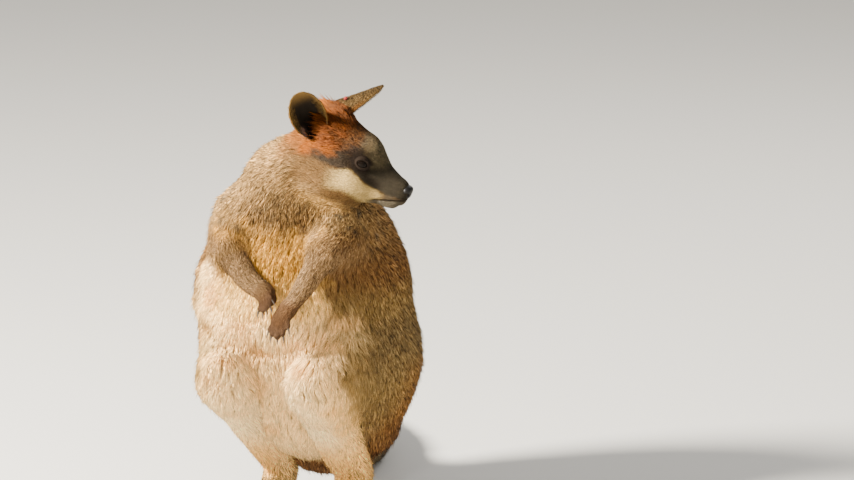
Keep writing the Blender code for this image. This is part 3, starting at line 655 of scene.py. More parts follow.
def eye_point(sign, r, q, t):
    """Points at radius r round an eye, q from its outward axis and t round it from the forward one.

    point = centre + r*(out*cos(q) + up*sin(q)*sin(t) + fore*sin(q)*cos(t))
    """
    centre, out, up, fore = eye_frame(sign)
    return (
        centre
        + out * (r * np.cos(q) * np.ones_like(t))[..., None]
        + up * (r * np.sin(q) * np.sin(t))[..., None]
        + fore * (r * np.sin(q) * np.cos(t))[..., None]
    )


MOUTH_SLOPE, MOUTH_START, MOUTH_END = -0.36, -11.5, 30.0


def mouth_height(back):
    """Height of the line of the mouth."""
    return MOUTH_START + MOUTH_SLOPE * (back + 1.0)


def sculpt_head(points, normals):
    """Moves skin points along their normals for brow, sockets, cheeks, lips, chin and the nose's back edge.

    Each is a bump, height*exp(-((x - centre)/width)^2), and the hollows of the ears are then emptied.
    """
    back, high, out = head_coordinates(points)
    near = ramp(118.0, 96.0, back) * ramp(330.0, 350.0, points[:, 2])
    side = np.abs(out)
    flank = ramp(8.0, 14.0, side)
    push = 1.9 * bump(EYE_BACK + 3.0, 11.0, back) * bump(EYE_HEIGHT + 12.0, 5.0, high) * flank
    push -= 2.2 * bump(EYE_BACK - 13.0, 6.0, back) * bump(EYE_HEIGHT - 4.5, 5.0, high) * flank
    push -= 1.2 * bump(EYE_BACK + 13.0, 6.0, back) * bump(EYE_HEIGHT, 6.0, high) * flank
    push += 1.8 * bump(EYE_BACK + 2.0, 15.0, back) * bump(EYE_HEIGHT - 17.0, 6.0, high) * flank
    above = high - mouth_height(back)
    mouth = ramp(MOUTH_END + 2.0, MOUTH_END - 3.0, back) * ramp(-2.0, 1.0, back)
    push -= 2.0 * bump(0.0, 1.3, above) * mouth
    push += 1.0 * bump(4.5, 3.0, above) * mouth
    push -= 0.9 * ramp(0.0, -3.0, above) * mouth * ramp(-24.0, -20.0, high + 0.3 * back)
    push -= 0.7 * bump(15.0, 4.0, back) * bump(2.0, 5.0, high) * ramp(5.0, 10.0, side)
    push += 0.6 * bump(5.0, 5.0, back) * ramp(0.0, 8.0, high)
    return empty_ears(points + normals * (push * near)[:, None])


def ear_tube(points, side):
    """How far skin points are inside an ear's roll, how deep behind its wall they have to go, and its face.

    The roll has radius r and its axis lies at depth r*cos(wrap); its back wall is at the axis' depth less
    sqrt(r^2 - aside^2).
    """
    base, length, axis, across, face = ear_frame(side)
    v = points - base
    s, deep, aside = v @ axis / length, v @ face, np.abs(v @ across)
    half, wrap, radius = ear_roll(s)
    wall = radius * np.cos(wrap) - EAR_FUR - np.sqrt(np.maximum(radius**2 - aside**2, 0.0))
    inside = ramp(0.0, 0.07, s) * ramp(0.8, 0.7, s) * ramp(half, half - 2.0, aside) * ramp(10.0, 3.0, deep)
    return inside * (deep > wall - 5.0), np.maximum(deep - wall + EAR_THICK, 0.0), face


def empty_ears(points):
    """Moves skin out of the hollows of the ears, to just behind their back walls."""
    for side in EARS:
        inside, depth, face = ear_tube(points, side)
        points = points - (inside * depth)[:, None] * face
    return points


def in_ears(points):
    """1 on skin in the hollow of an ear."""
    return np.maximum(ear_tube(points, "r")[0], ear_tube(points, "l")[0])


TRUNK_AXIS = (-4.0, 20.0)
CREASE_HEIGHT, CREASE_WIDTH, CREASE_DEPTH = 208.0, 9.0, 4.0
ROLL_ABOVE, ROLL_WIDTH, ROLL_RISE = 20.0, 12.0, 2.5
NAPE_HEIGHT, NAPE_ROUNDS = 404.0, 110
SOLE_LEVEL, SOLE_SPREAD = 0.35, 0.02


def trunk_angle(points):
    """Degrees round the trunk's upright axis: 0 in front and 90 at the animal's left."""
    return np.degrees(np.arctan2(points[:, 0] - TRUNK_AXIS[0], -(points[:, 1] - TRUNK_AXIS[1])))


def belly_crease(points):
    """1 along the fold where the belly's skin hangs over the thighs, and how far points lie above it."""
    angle = trunk_angle(points)
    above = points[:, 2] - CREASE_HEIGHT - 22.0 * ramp(-5.0, -66.0, angle) - 9.0 * ramp(6.0, 34.0, angle)
    reach = ramp(-84.0, -50.0, angle) * ramp(40.0, 18.0, angle)
    return bump(0.0, CREASE_WIDTH, above) * reach * (0.55 + 0.45 * waves(points, 30.0, 27)), above


def sculpt_belly(points, normals):
    """Sinks the crease and fills the roll of skin above it."""
    crease, above = belly_crease(points)
    angle = trunk_angle(points)
    reach = ramp(-90.0, -55.0, angle) * ramp(50.0, 20.0, angle)
    push = ROLL_RISE * bump(ROLL_ABOVE, ROLL_WIDTH, above) * reach - CREASE_DEPTH * crease
    return points + normals * push[:, None]


def soften_nape(points, edges):
    """Evens out the hollow where the back of the neck meets the shoulders."""
    back, _, _ = head_coordinates(points)
    level = ramp(52.0, 18.0, np.abs(points[:, 2] - NAPE_HEIGHT))
    zone = level * ramp(-50.0, -25.0, points[:, 1]) * ramp(124.0, 146.0, back)
    return mix_rows(points, smooth_over(points, edges, len(points), NAPE_ROUNDS), zone)


def flatten_soles(points):
    """Keeps every point above the floor, pressed flat where it would go under."""
    low = points[:, 2] < SOLE_LEVEL
    points[low, 2] = SOLE_LEVEL + SOLE_SPREAD * (points[low, 2] - SOLE_LEVEL)
    return points


def body_skin(parts):
    """One closed skin: lofts less the coat's depth, joined by voxels, drawn to a soft union and thinned."""
    points, quads, fans, start = [], [], [], 0
    for part in parts:
        around = 64 if part["name"] in ("trunk", "head", "neck") else 40
        p, q, f = tube(part, around, part["cap"])
        points.append(p)
        quads.append(q + start)
        fans.append(f + start)
        start += len(p)
    obj = mesh_object("skin", np.vstack(points), [np.vstack(quads), np.vstack(fans)])
    remesh(obj, UNION_VOXEL)
    points = points_of(obj)
    for _ in range(UNION_STEPS):
        points = pull(points, parts)
    set_points(obj, points)
    remesh(obj, SKIN_VOXEL)
    smooth = obj.modifiers.new("smooth", "SMOOTH")
    smooth.factor = 0.5
    smooth.iterations = 6
    settle(obj)
    set_points(obj, soften_nape(points_of(obj), edges_of(obj)))
    set_points(obj, sculpt_head(points_of(obj), normals_of(obj)))
    set_points(obj, sculpt_belly(points_of(obj), normals_of(obj)))
    thin_skin(obj)
    set_points(obj, flatten_soles(points_of(obj)))
    return obj


def thin_skin(obj):
    """Brings the skin down to its number of triangles, with the face kept as it is."""
    triangles = sum(len(p.vertices) - 2 for p in obj.data.polygons)
    if triangles <= SKIN_TRIANGLES:
        return
    points = points_of(obj)
    back, _, _ = head_coordinates(points)
    face = np.flatnonzero((back < 84.0) & (points[:, 2] > 352.0) & (points[:, 0] > 40.0))
    group = obj.vertex_groups.new(name="face")
    group.add(face.tolist(), 1.0, "REPLACE")
    thin = obj.modifiers.new("thin", "DECIMATE")
    thin.ratio = SKIN_TRIANGLES / triangles
    thin.vertex_group = "face"
    thin.invert_vertex_group = True
    settle(obj)
    obj.vertex_groups.clear()


def remesh(obj, size):
    """Rebuilds the mesh from voxels of a size in millimetres."""
    modifier = obj.modifiers.new("voxels", "REMESH")
    modifier.mode = "VOXEL"
    modifier.voxel_size = size * MM
    settle(obj)


# ---------------------------------------------------------------- ears


def ear_sheet(side, s, b, lift):
    """Points of an ear's leaf: s from base to tip, b from -1 to 1 across, lift the height behind the cup.

    point = base + axis*length*s + across*r*sin(a) - face*(r*cos(a) - r0*cos(wrap) + fur),
    with a = b*wrap(s) and r = r0 + lift.
    """
    base, length, axis, across, face = ear_frame(side)
    _, wrap, radius = ear_roll(s)
    a = b * wrap
    r = radius + lift
    return (
        base
        + axis * (length * s)[..., None]
        + across * (r * np.sin(a))[..., None]
        - face * (r * np.cos(a) - radius * np.cos(wrap) + EAR_FUR)[..., None]
    )


def ear_shell(side, along=44, over=36):
    """A closed thin shell: the sheet's front and back joined round the rim, thinner towards it."""
    s, b = np.meshgrid(np.linspace(0.0, 0.995, along), np.linspace(-1.0, 1.0, over), indexing="ij")
    thin = EAR_THICK * (1.0 - 0.45 * ramp(0.6, 1.0, np.abs(b))) * (1.0 - 0.35 * ramp(0.7, 1.0, s))
    outer, inner = ear_sheet(side, s, b, thin), ear_sheet(side, s, b, np.zeros_like(s))
    ribs = 0.5 * np.sin(9.0 * np.pi * (b + 1.0) / 2.0) * ramp(0.0, 0.2, s) * ramp(0.75, 0.45, s)
    inner = inner + (ribs * (np.abs(b) < 0.6))[..., None] * unit(np.asarray(EARS[side][2]))
    loops = np.concatenate([outer, inner[:, ::-1]], axis=1)
    around = 2 * over
    j, last = np.arange(over - 1), (along - 1) * around
    closing = np.vstack([
        np.stack([j, around - 1 - j, around - 2 - j, j + 1], axis=-1),
        np.stack([last + j, last + j + 1, last + around - 2 - j, last + around - 1 - j], axis=-1),
    ])
    uv = np.concatenate([np.stack([s, b], -1), np.stack([s, b], -1)[:, ::-1]], axis=1).reshape(-1, 2)
    is_inner = np.concatenate([np.zeros_like(s), np.ones_like(s)], axis=1).ravel()
    return loops.reshape(-1, 3), np.vstack([band_faces(along, around), closing]), uv, is_inner


# ---------------------------------------------------------------- eyelids

LID_OUTER, LID_INNER, LID_END = 10.2, 9.15, math.radians(82.0)
# Half the eye's opening to its corners, up and down.
OPEN_WIDE, OPEN_UP, OPEN_DOWN = (math.radians(angle) for angle in (38.0, 27.0, 25.0))


def lid_shell(sign, along=20, around=72):
    """A closed shell round an eye, from the edge of an almond opening at q = edge(t) back to LID_END.

    edge = 1/|(cos(t)/wide, sin(t)/high)|, a tenth wider at the corners; k runs along the lid from 0 to 1.
    """
    t = np.linspace(0.0, 2.0 * math.pi, around, endpoint=False)
    high = np.where(np.sin(t) > 0, OPEN_UP, OPEN_DOWN)
    edge = 1.0 / np.sqrt((np.cos(t) / OPEN_WIDE) ** 2 + (np.sin(t) / high) ** 2)
    edge = edge * (1.0 + 0.10 * np.abs(np.cos(t)) ** 6)
    k = np.linspace(0.0, 1.0, along)[:, None]
    q = edge + (LID_END - edge) * k
    fold = 0.45 * bump(0.28, 0.07, k) * (0.6 + 0.4 * np.sin(t))
    outer = LID_OUTER - 0.7 * ramp(0.12, 0.0, k) - fold - 1.2 * ramp(0.5, 1.0, k)
    rings = np.concatenate([eye_point(sign, outer, q, t), eye_point(sign, LID_INNER, q, t)[::-1]], axis=0)
    quads = band_faces(len(rings), around, closed=True)
    return rings.reshape(-1, 3), quads if sign < 0 else quads[:, ::-1]


# ---------------------------------------------------------------- fields over the skin


def part_fields(points, parts):
    """For each point: the parts' weights, nearest part, the hair's way and length, and the coat's depth."""
    gap = np.full((len(parts), len(points)), FAR)
    ways, depths = [], []
    for i, part in enumerate(parts):
        near = near_part(part, points, 40.0)
        gap[i, near], _, tangent, along, _ = section(part, points[near])
        way, depth = np.zeros_like(points), np.zeros(len(points))
        way[near] = hair_way(part, points[near], tangent)
        depth[near] = np.interp(along, np.linspace(0.0, 1.0, len(part["depth"])), part["depth"])
        ways.append(way)
        depths.append(depth)
    nearest = gap.argmin(axis=0)
    linked = np.eye(len(parts), dtype=bool)
    names = [part["name"] for part in parts]
    for chain in chains():
        members = np.array([names.index(name) for name in chain])
        linked[np.ix_(members, members)] = True
    soft = np.array([part["soft"] for part in parts])[:, None]
    weight = np.exp(-(((gap - gap.min(axis=0)) / soft) ** 2)) * linked[nearest].T
    weight /= weight.sum(axis=0)
    way, hair, depth = np.zeros_like(points), np.zeros(len(points)), np.zeros(len(points))
    for i, part in enumerate(parts):
        length = head_hair(points) if part["name"] == "head" else part["hair"]
        way += ways[i] * weight[i][:, None]
        hair += length * weight[i]
        depth += depths[i] * weight[i]
    return {"weight": weight, "part": nearest, "way": way, "hair": hair, "depth": depth}


def hair_way(part, points, tangent):
    """The way the hair lies: along the part, but down over thighs, forwards at the knee, back behind it."""
    if part["flow"]:
        return tangent * part["flow"]
    behind = ramp(-70.0, 30.0, points[:, 1])
    down = np.stack([np.zeros(len(points)), 0.85 * behind - 0.3, -np.ones(len(points))], axis=1)
    return unit(down)


def crown_ruff(points):
    """1 on the crown between the ears, where the rust hair is longest and stands up."""
    back, high, out = head_coordinates(points)
    crown = ramp(80.0, 94.0, back) * ramp(132.0, 118.0, back)
    return crown * ramp(12.0, 26.0, high) * ramp(46.0, 34.0, np.abs(out))


HEAD_HAIR_AT = (0.0, 15.0, 35.0, 55.0, 75.0, 100.0, 125.0)
HEAD_HAIR = (1.5, 2.0, 2.6, 3.6, 5.6, 8.6, 11.0)


def head_hair(points):
    """Hair length over the head: very short on the nose and lips, longer on cheeks and crown."""
    back, _, _ = head_coordinates(points)
    length = np.interp(back, HEAD_HAIR_AT, HEAD_HAIR)
    eye = np.minimum(
        np.linalg.norm(points - head_point(EYE_BACK, EYE_HEIGHT, EYE_OUT), axis=1),
        np.linalg.norm(points - head_point(EYE_BACK, EYE_HEIGHT, -EYE_OUT), axis=1),
    )
    return length * (0.35 + 0.65 * ramp(9.0, 22.0, eye))


def smooth_over(values, edges, count, rounds):
    """Averages values over the mesh's edges."""
    a, b = edges[:, 0], edges[:, 1]
    degree = np.bincount(edges.ravel(), minlength=count)[:, None] + 1.0
    for _ in range(rounds):
        total = values.copy()
        for axis in range(values.shape[1]):
            total[:, axis] += np.bincount(a, weights=values[b, axis], minlength=count)
            total[:, axis] += np.bincount(b, weights=values[a, axis], minlength=count)
        values = total / degree
    return values


def edges_of(obj):
    """The object's edges as an index array."""
    edges = np.empty(len(obj.data.edges) * 2, np.int32)
    obj.data.edges.foreach_get("vertices", edges)
    return edges.reshape(-1, 2)


# ---------------------------------------------------------------- markings

PALETTE = {name: linear(code) for name, code in {
    "grizzle": "72502a",
    # back: the back's own dark grey-brown, made darker in part as painted shade
    "back": "4b4335",
    "shoulder": "96794c",
    "chest": "d0993d",
    "chest_low": "fcce7c",
    "belly": "fbd290",
    # fold: the belly's warmer orange, made darker as painted shade of the coat's folds
    "fold": "d89a50",
    "arm": "806341",
    "elbow": "53412a",
    "hand": "5c3f26",
    "finger": "4a3422",
    "thigh": "846a3c",
    "knee": "ffe2a8",
    "rump": "8c5a2c",
    "rump_rust": "845626",
    "shank": "fcc876",
    "foot": "4a3a2a",
    "toe": "352820",
    "tail": "503f28",
    "tail_tip": "33271d",
    "vent": "ffdc9c",
    "rust": "5b2c03",
    "nape_rust": "743c00",
    "forehead": "5b5039",
    "brow": "40250a",
    # temple: painted shade, the dark band behind the eye
    "temple": "261c10",
    "muzzle": "2e281d",
    "mask": "241a12",
    "cheek": "a68d57",
    "cheek_back": "523a1c",
    "chin": "5a5141",
    "ear_back": "765c37",
    "ear_inside": "140e07",
    "ear_rim": "876837",
    "ear_pink": "b48b7e",
}.items()}


def spread(name, count):
    """One palette colour for every point."""
    return np.tile(PALETTE[name], (count, 1))


def body_markings(points, fields, parts):
    """Colour over the body from height, the angle round the trunk and the parts' weights.

    Limits in ramps are millimetres up the body, or degrees round the trunk for angle and front.
    """
    n = len(points)
    x, y, z = points.T
    weight = {part["name"]: fields["weight"][i] for i, part in enumerate(parts)}
    angle = trunk_angle(points)
    front = np.abs(angle)
    patchy = waves(points, 46.0, 3)
    fine = waves(points, 17.0, 4)
    colour = spread("grizzle", n)
    # Back and flanks take the back's colour, which is partly painted shade.
    colour = mix(colour, PALETTE["back"], ramp(85.0, 135.0, front + 10.0 * patchy) * 0.85)
    colour = mix(colour, PALETTE["shoulder"], ramp(300.0, 360.0, z) * ramp(120.0, 60.0, front) * 0.6)
    # Painted shade: dark streaks where the coat parts on neck and shoulders, in the back's colour.
    parting_shade = ramp(0.5, 0.9, waves(points * [1.0, 1.0, 0.7], 11.0, 21))
    parting_shade = parting_shade * ramp(310.0, 340.0, z) * ramp(100.0, 70.0, front)
    colour = mix(colour, PALETTE["back"], 0.85 * parting_shade)
    right_edge, left_edge = 56.0 + 8.0 * ramp(290.0, 200.0, z), 14.0 + 34.0 * ramp(300.0, 225.0, z)
    edge = np.where(angle < 0.0, right_edge, left_edge)
    belly = ramp(edge + 16.0, edge - 14.0, front + 7.0 * fine + 7.0 * patchy)
    belly = belly * ramp(318.0, 284.0, z + 7.0 * fine + 7.0 * patchy)
    flank = ramp(edge - 6.0, edge + 12.0, front) * ramp(300.0, 262.0, z) * ramp(130.0, 90.0, front)
    colour = mix(colour, PALETTE["thigh"], flank * (angle > 0.0) * 0.8)
    colour = mix(colour, PALETTE["belly"], belly)
    # Painted shade of folds: streaks of the darker fold colour over the belly, partly its own warmer tone.
    fold = ramp(-0.2, 0.8, waves(points * [1.0, 1.0, 1.8], 48.0, 7)) * belly
    colour = mix(colour, PALETTE["fold"], 0.60 * fold)
    # Painted shade: the crease under the belly's roll is darkened with a darker copy of the fold colour.
    colour = mix(colour, PALETTE["fold"] * 0.7, 0.75 * belly_crease(points)[0])
    chest = ramp(38.0, 22.0, front + 6.0 * fine) * ramp(238.0, 262.0, z)
    chest = chest * ramp(366.0, 330.0, z + 8.0 * fine)
    gold = mix(spread("chest", n), PALETTE["chest_low"], ramp(310.0, 262.0, z))
    colour = mix_rows(colour, gold, chest)
    rump = ramp(190.0, 90.0, z + 14.0 * patchy) * ramp(60.0, 100.0, front)
    colour = mix(colour, PALETTE["rump"], 0.5 * rump)
    vent = ramp(120.0, 70.0, z + 10.0 * fine) * ramp(100.0, 60.0, front)
    colour = mix(colour, PALETTE["vent"], 0.75 * vent)
    layers = [(neck_markings(points), weight["neck"])]
    for side, sign in (("l", 1.0), ("r", -1.0)):
        layers.append((thigh_markings(points, sign, fine), weight["thigh_" + side]))
        inner = ramp(84.0, 60.0, x * sign + 6.0 * fine)
        shank = mix(spread("shank", n), PALETTE["knee"], inner * ramp(70.0, 120.0, z))
        shank = mix(shank, PALETTE["vent"], ramp(40.0, 26.0, x * sign) * ramp(110.0, 80.0, z) * 0.5)
        layers.append((shank, weight["shank_" + side]))
        arm = mix(spread("grizzle", n), PALETTE["arm"], ramp(350.0, 320.0, z))
        layers.append((arm, weight["upper_arm_" + side] * ramp(360.0, 330.0, z)))
        fore = mix(spread("arm", n), PALETTE["elbow"], 0.8 * bump(300.0, 16.0, z) * ramp(-108.0, -90.0, y))
        fore = mix(fore, PALETTE["hand"], ramp(288.0, 268.0, z) * 0.9)
        layers += [(fore, weight["forearm_" + side]), (spread("hand", n), weight["palm_" + side])]
        digits = sum(weight[f"digit_{k}_{side}"] for k in range(5))
        layers.append((spread("finger", n), digits))
        foot = mix(spread("foot", n), PALETTE["toe"], ramp(-40.0, -100.0, y))
        feet = weight["foot_" + side] + sum(weight[f"toe_{t}_{side}"] for t in ("four", "five", "two"))
        layers.append((foot, feet))
    tail = mix(spread("tail", n), PALETTE["tail_tip"], ramp(280.0, 480.0, y))
    tail = mix(tail, PALETTE["vent"], ramp(60.0, 20.0, z) * ramp(230.0, 120.0, y))
    layers.append((tail, weight["tail"]))
    colour = colour * (1.0 - sum(share for _, share in layers))[:, None]
    colour = colour + sum(layer * share[:, None] for layer, share in layers)
    back, high, out = head_coordinates(points)
    skull = ramp(134.0, 118.0, back) * ramp(-44.0, -30.0, high)
    skull = skull * ramp(50.0, 40.0, np.abs(out)) * ramp(0.0, 24.0, x)
    return mix_rows(colour, head_markings(points), np.maximum(weight["head"], skull))


def thigh_markings(points, sign, fine):
    """Cream inside and over the knee, grizzled gold-brown outside, redder towards the rump."""
    n = len(points)
    x, y, z = points.T
    outward = x * sign - 89.0 - 11.0 * sign + 0.35 * (y + 100.0) + 0.10 * (z - 190.0) + 8.0 * fine
    # The outer thigh takes the back's colour, which is partly painted shade.
    dark = ramp(8.0, 40.0, outward) * ramp(150.0, 230.0, z)
    thigh = mix(spread("thigh", n), PALETTE["back"], 0.75 * dark)
    thigh = mix(thigh, PALETTE["rump_rust"], ramp(-10.0, 50.0, y) * ramp(210.0, 160.0, z) * 0.8)
    # Painted shade of folds: streaks of the darker fold colour over the thigh's cream inside, partly its
    # own warmer tone.
    fold = ramp(-0.2, 0.8, waves(points * [1.0, 1.0, 1.8], 42.0, 9))
    cream = mix(spread("belly", n), PALETTE["fold"], 0.65 * fold)
    return mix_rows(thigh, cream, ramp(4.0, -22.0, outward) * ramp(30.0, -30.0, y))


def mix_rows(a, b, t):
    """a and b are both given for each row."""
    return a * (1.0 - t)[:, None] + b * t[:, None]


def neck_markings(points):
    """Grizzled, warm along the nape behind the ears."""
    n = len(points)
    near_nape = np.linalg.norm((points - head_point(132.0, 6.0, -24.0)) * [1.0, 1.0, 1.3], axis=1)
    colour = spread("grizzle", n)
    colour = mix(colour, PALETTE["shoulder"], ramp(350.0, 400.0, points[:, 2]) * 0.5)
    return mix(colour, PALETTE["nape_rust"], ramp(40.0, 14.0, near_nape))


# Lower edges of the dark mask and of the slate forehead: height by the distance behind the nose's tip.
MASK_BACK = (8.0, 14.0, 25.0, 33.0, 44.0, 54.0, 62.0, 72.0, 92.0)
MASK_HIGH = (-11.5, -12.0, -10.5, -10.0, -6.5, -2.0, 1.0, -2.0, -8.0)
SLATE_BACK, SLATE_HIGH = (20.0, 36.0, 46.0, 57.0, 70.0), (24.0, 15.0, 14.0, 21.0, 24.0)


def head_markings(points):
    """Rust crown and ear bases, slate forehead, dark muzzle to the eye, buff cheek, grey chin.

    Limits in ramps are millimetres behind the nose's tip (back) and above the head's axis (high).
    """
    n = len(points)
    back, high, out = head_coordinates(points)
    fine = waves(points, 7.0, 12)
    broad = waves(points, 18.0, 13)
    colour = spread("cheek_back", n)
    # Painted shade: the temple behind the eye is darkened.
    temple = ramp(62.0, 70.0, back) * ramp(-8.0, 0.0, high + 2.0 * fine)
    colour = mix(colour, PALETTE["temple"], temple)
    upper = ramp(14.0, 24.0, high + 2.0 * fine)
    colour = mix(colour, PALETTE["brow"], upper * ramp(52.0, 66.0, back + 2.0 * broad))
    crown_start = 84.0 - 0.12 * (high - 20.0) + 3.0 * fine
    crown = ramp(crown_start - 6.0, crown_start + 6.0, back) * ramp(3.0, 11.0, high + 2.5 * fine)
    rust = mix(spread("rust", n), PALETTE["nape_rust"], ramp(24.0, 12.0, high + 3.0 * broad) * 0.6)
    rust = mix(rust, PALETTE["brow"], ramp(0.0, 0.5, waves(points, 5.0, 19)) * ramp(16.0, 28.0, high) * 0.6)
    # Painted shade: the crown's rust is darkened towards its top.
    rust = mix(rust, PALETTE["brow"], ramp(34.0, 48.0, high) * 0.2)
    colour = mix_rows(colour, rust, crown)
    band = ramp(104.0, 112.0, back + 2.0 * fine) * ramp(-8.0, 2.0, high + 2.0 * fine)
    colour = mix(colour, PALETTE["nape_rust"], band)
    mask_edge = np.interp(back, MASK_BACK, MASK_HIGH)
    dark = ramp(-2.0, 2.5, high - mask_edge + 1.2 * fine) * ramp(70.0, 58.0, back + 1.5 * broad)
    colour = mix(colour, PALETTE["muzzle"], dark)
    slate = ramp(-8.0, 6.0, high - np.interp(back, SLATE_BACK, SLATE_HIGH) + fine)
    slate = slate * ramp(14.0, 36.0, back) * ramp(67.0, 52.0, back + 2.0 * fine)
    colour = mix(colour, PALETTE["forehead"], slate)
    colour = mix(colour, PALETTE["brow"], 0.55 * slate * ramp(46.0, 60.0, back + 4.0 * broad))
    below = mask_edge - high
    cheek = ramp(-1.5, 2.0, below + fine) * ramp(28.0, 18.0, below)
    cheek = cheek * ramp(17.0, 25.0, back + fine) * ramp(90.0, 62.0, back)
    colour = mix(colour, PALETTE["cheek"], cheek)
    round_eye = np.hypot((back - EYE_BACK) * 0.82, high - EYE_HEIGHT)
    flank = ramp(6.0, 12.0, np.abs(out))
    colour = mix(colour, PALETTE["mask"], ramp(12.0, 8.5, round_eye + fine) * flank)
    behind = np.hypot((back - EYE_BACK - 9.0) * 0.8, high - EYE_HEIGHT - 9.5)
    colour = mix(colour, PALETTE["mask"], ramp(8.5, 4.0, behind + fine) * flank * 0.85)
    stripe = bump(mask_edge + 6.0, 4.0, high) * ramp(20.0, 30.0, back) * ramp(58.0, 46.0, back)
    colour = mix(colour, PALETTE["mask"], 0.55 * stripe)
    above = high - mouth_height(back)
    tip = ramp(24.0, 14.0, back + fine) * ramp(-8.0, -14.0, high)
    colour = mix(colour, PALETTE["chin"], 0.6 * tip)
    jaw = ramp(1.0, -1.5, above) * ramp(44.0, 26.0, back + 2.0 * broad)
    colour = mix(colour, PALETTE["chin"], jaw)
    lips = bump(0.0, 1.5, above) * ramp(MOUTH_END + 3.0, MOUTH_END - 2.0, back)
    colour = mix(colour, PALETTE["mask"], 0.85 * lips)
    throat = ramp(-38.0, -48.0, high) * ramp(44.0, 64.0, back)
    colour = mix(colour, PALETTE["chest"], 0.35 * throat)
    return mix(colour, PALETTE["ear_inside"], ramp(0.05, 0.4, in_ears(points)))


def ear_markings(uv, is_inner):
    """Dark inside, brown behind, pale towards the rim, pink-grey at the notch."""
    n = len(uv)
    s, b = uv.T
    back = mix(spread("ear_back", n), PALETTE["rust"], ramp(0.40, 0.10, s))
    back = mix(back, PALETTE["ear_rim"], ramp(0.82, 1.0, np.abs(b)) * 0.6)
    back = mix(back, PALETTE["nape_rust"], ramp(0.72, 0.95, np.abs(b)) * ramp(0.75, 0.40, s) * 0.7)
    border = np.maximum(ramp(0.45, 1.0, np.abs(b)), ramp(0.62, 0.98, s))
    inside = mix(spread("ear_inside", n), PALETTE["ear_rim"], 0.5 * border**1.5)
    inside = mix(inside, PALETTE["ear_pink"], ramp(0.32, 0.12, s) * ramp(0.3, 0.8, np.abs(b)))
    return mix_rows(back, inside, is_inner)


# ---------------------------------------------------------------- coat


# A tuft's four triangles, and where its points lie in the bake map round its root's place.
TUFT_FACES = np.array([(0, 1, 2), (1, 3, 2), (0, 3, 1), (0, 2, 3)])
TUFT_SPOT = np.array([(0.0, -1.4), (-1.2, 0.0), (1.2, 0.0), (0.0, 1.4)]) * MM
HAIR_LEVEL = 0.2


def tuft_arrays(root, normal, way, length, width, lift, droop, inks, places):
    """Kite-shaped tufts of four points, pointed at both ends and bent at the widest place.

    point = root, root + first*length*0.4 -/+ side*width/2, then + second*length*0.6, where first climbs
    from the skin on a slope of lift and second on a slope of droop. inks are the colours of root, middle
    and tip. No point is lower than HAIR_LEVEL.
    """
    side = unit(np.cross(normal, way))
    half = width[:, None] / 2
    first = way * np.cos(lift)[:, None] + normal * np.sin(lift)[:, None]
    second = way * np.cos(droop)[:, None] + normal * np.sin(droop)[:, None]
    middle = root + first * (length * 0.4)[:, None]
    tip = middle + second * (length * 0.6)[:, None]
    low = root - normal * half * 0.6
    points = np.stack([low, middle - side * half, middle + side * half, tip], axis=1)
    points[..., 2] = np.maximum(points[..., 2], HAIR_LEVEL)
    colours = np.stack([inks[0], inks[1], inks[1], inks[2]], axis=1)
    maps = places[:, None, :] + TUFT_SPOT
    return points.reshape(-1, 3), colours.reshape(-1, 3), maps.reshape(-1, 2)


def coat_object(name, arrays, material):
    """A coat piece from tuft arrays, with its colours and bake map."""
    points, colours, maps = arrays
    faces = TUFT_FACES + 4 * np.arange(len(points) // 4)[:, None, None]
    obj = mesh_object(name, points, [faces.reshape(-1, 3)])
    paint(obj, colours)
    bake_map(obj, maps)
    obj.data.materials.append(material)
    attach(obj, "root")


# Tufts per square millimetre of each region of the coat, and the most that one piece holds.
DENSITY = {
    "trunk": 0.68, "neck": 1.75, "head": 0.80, "tail": 0.50,
    "leg_l": 0.80, "leg_r": 0.80, "arms": 1.6, "feet": 0.75,
}
MOST_TUFTS = 49000


def sow(points, normals, triangles, values, density, rng):
    """Random roots on triangles, area*density on each on average, with values mixed by the same weights.

    Returns roots, normals, values and a near point of the skin for each.
    """
    a, b, c = (points[triangles[:, k]] for k in range(3))
    area = np.linalg.norm(np.cross(b - a, c - a), axis=1) / 2
    wanted = area * density[triangles].mean(axis=1)
    number = np.floor(wanted + rng.random(len(wanted))).astype(int)
    which = np.repeat(np.arange(len(triangles)), number)
    r1, r2 = np.sqrt(rng.random(len(which))), rng.random(len(which))
    share = np.stack([1 - r1, r1 * (1 - r2), r1 * r2], axis=1)
    corner = triangles[which]

    def take(v):
        return np.einsum("ij,ij...->i...", share, v[corner])

    return take(points), unit(take(normals)), {key: take(v) for key, v in values.items()}, corner[:, 0]


def tuft_inks(colour, grizzle, rng):
    """Colours of root, middle and tip: banded hairs, some tipped pale and some dark where grizzled."""
    n = len(colour)
    shade = np.exp(rng.normal(0.0, 0.09 + 0.30 * grizzle, n))[:, None]
    warm = 1.0 + rng.normal(0.0, 0.03, (n, 1)) * np.array([1.0, 0.0, -1.2])
    base = colour * shade * warm
    draw = rng.random(n)
    pale = (draw < 0.30)[:, None] * grizzle[:, None]
    dark = (draw > 0.68)[:, None] * grizzle[:, None]
    tan = pale * np.clip(base[:, 2:] / 0.02, 0.0, 1.0)
    tip = base * (1.0 + 0.95 * pale - 0.88 * dark) + tan * np.array([0.036, 0.029, 0.018])
    root = base * (0.46 + 0.30 * (1.0 - grizzle))[:, None]
    return root, base * (0.92 - 0.48 * dark), tip * 1.06


def part_map(points, part_index, parts):
    """Where a root lies on its part unrolled: along the axis and round it, in the unit square."""
    uv = np.zeros((len(points), 2))
    for i, part in enumerate(parts):
        here = np.flatnonzero(part_index == i)
        if not len(here):
            continue
        _, _, _, along, angle = section(part, points[here])
        uv[here] = np.stack([along, angle / (2.0 * math.pi) + 0.5], axis=1)
    return uv


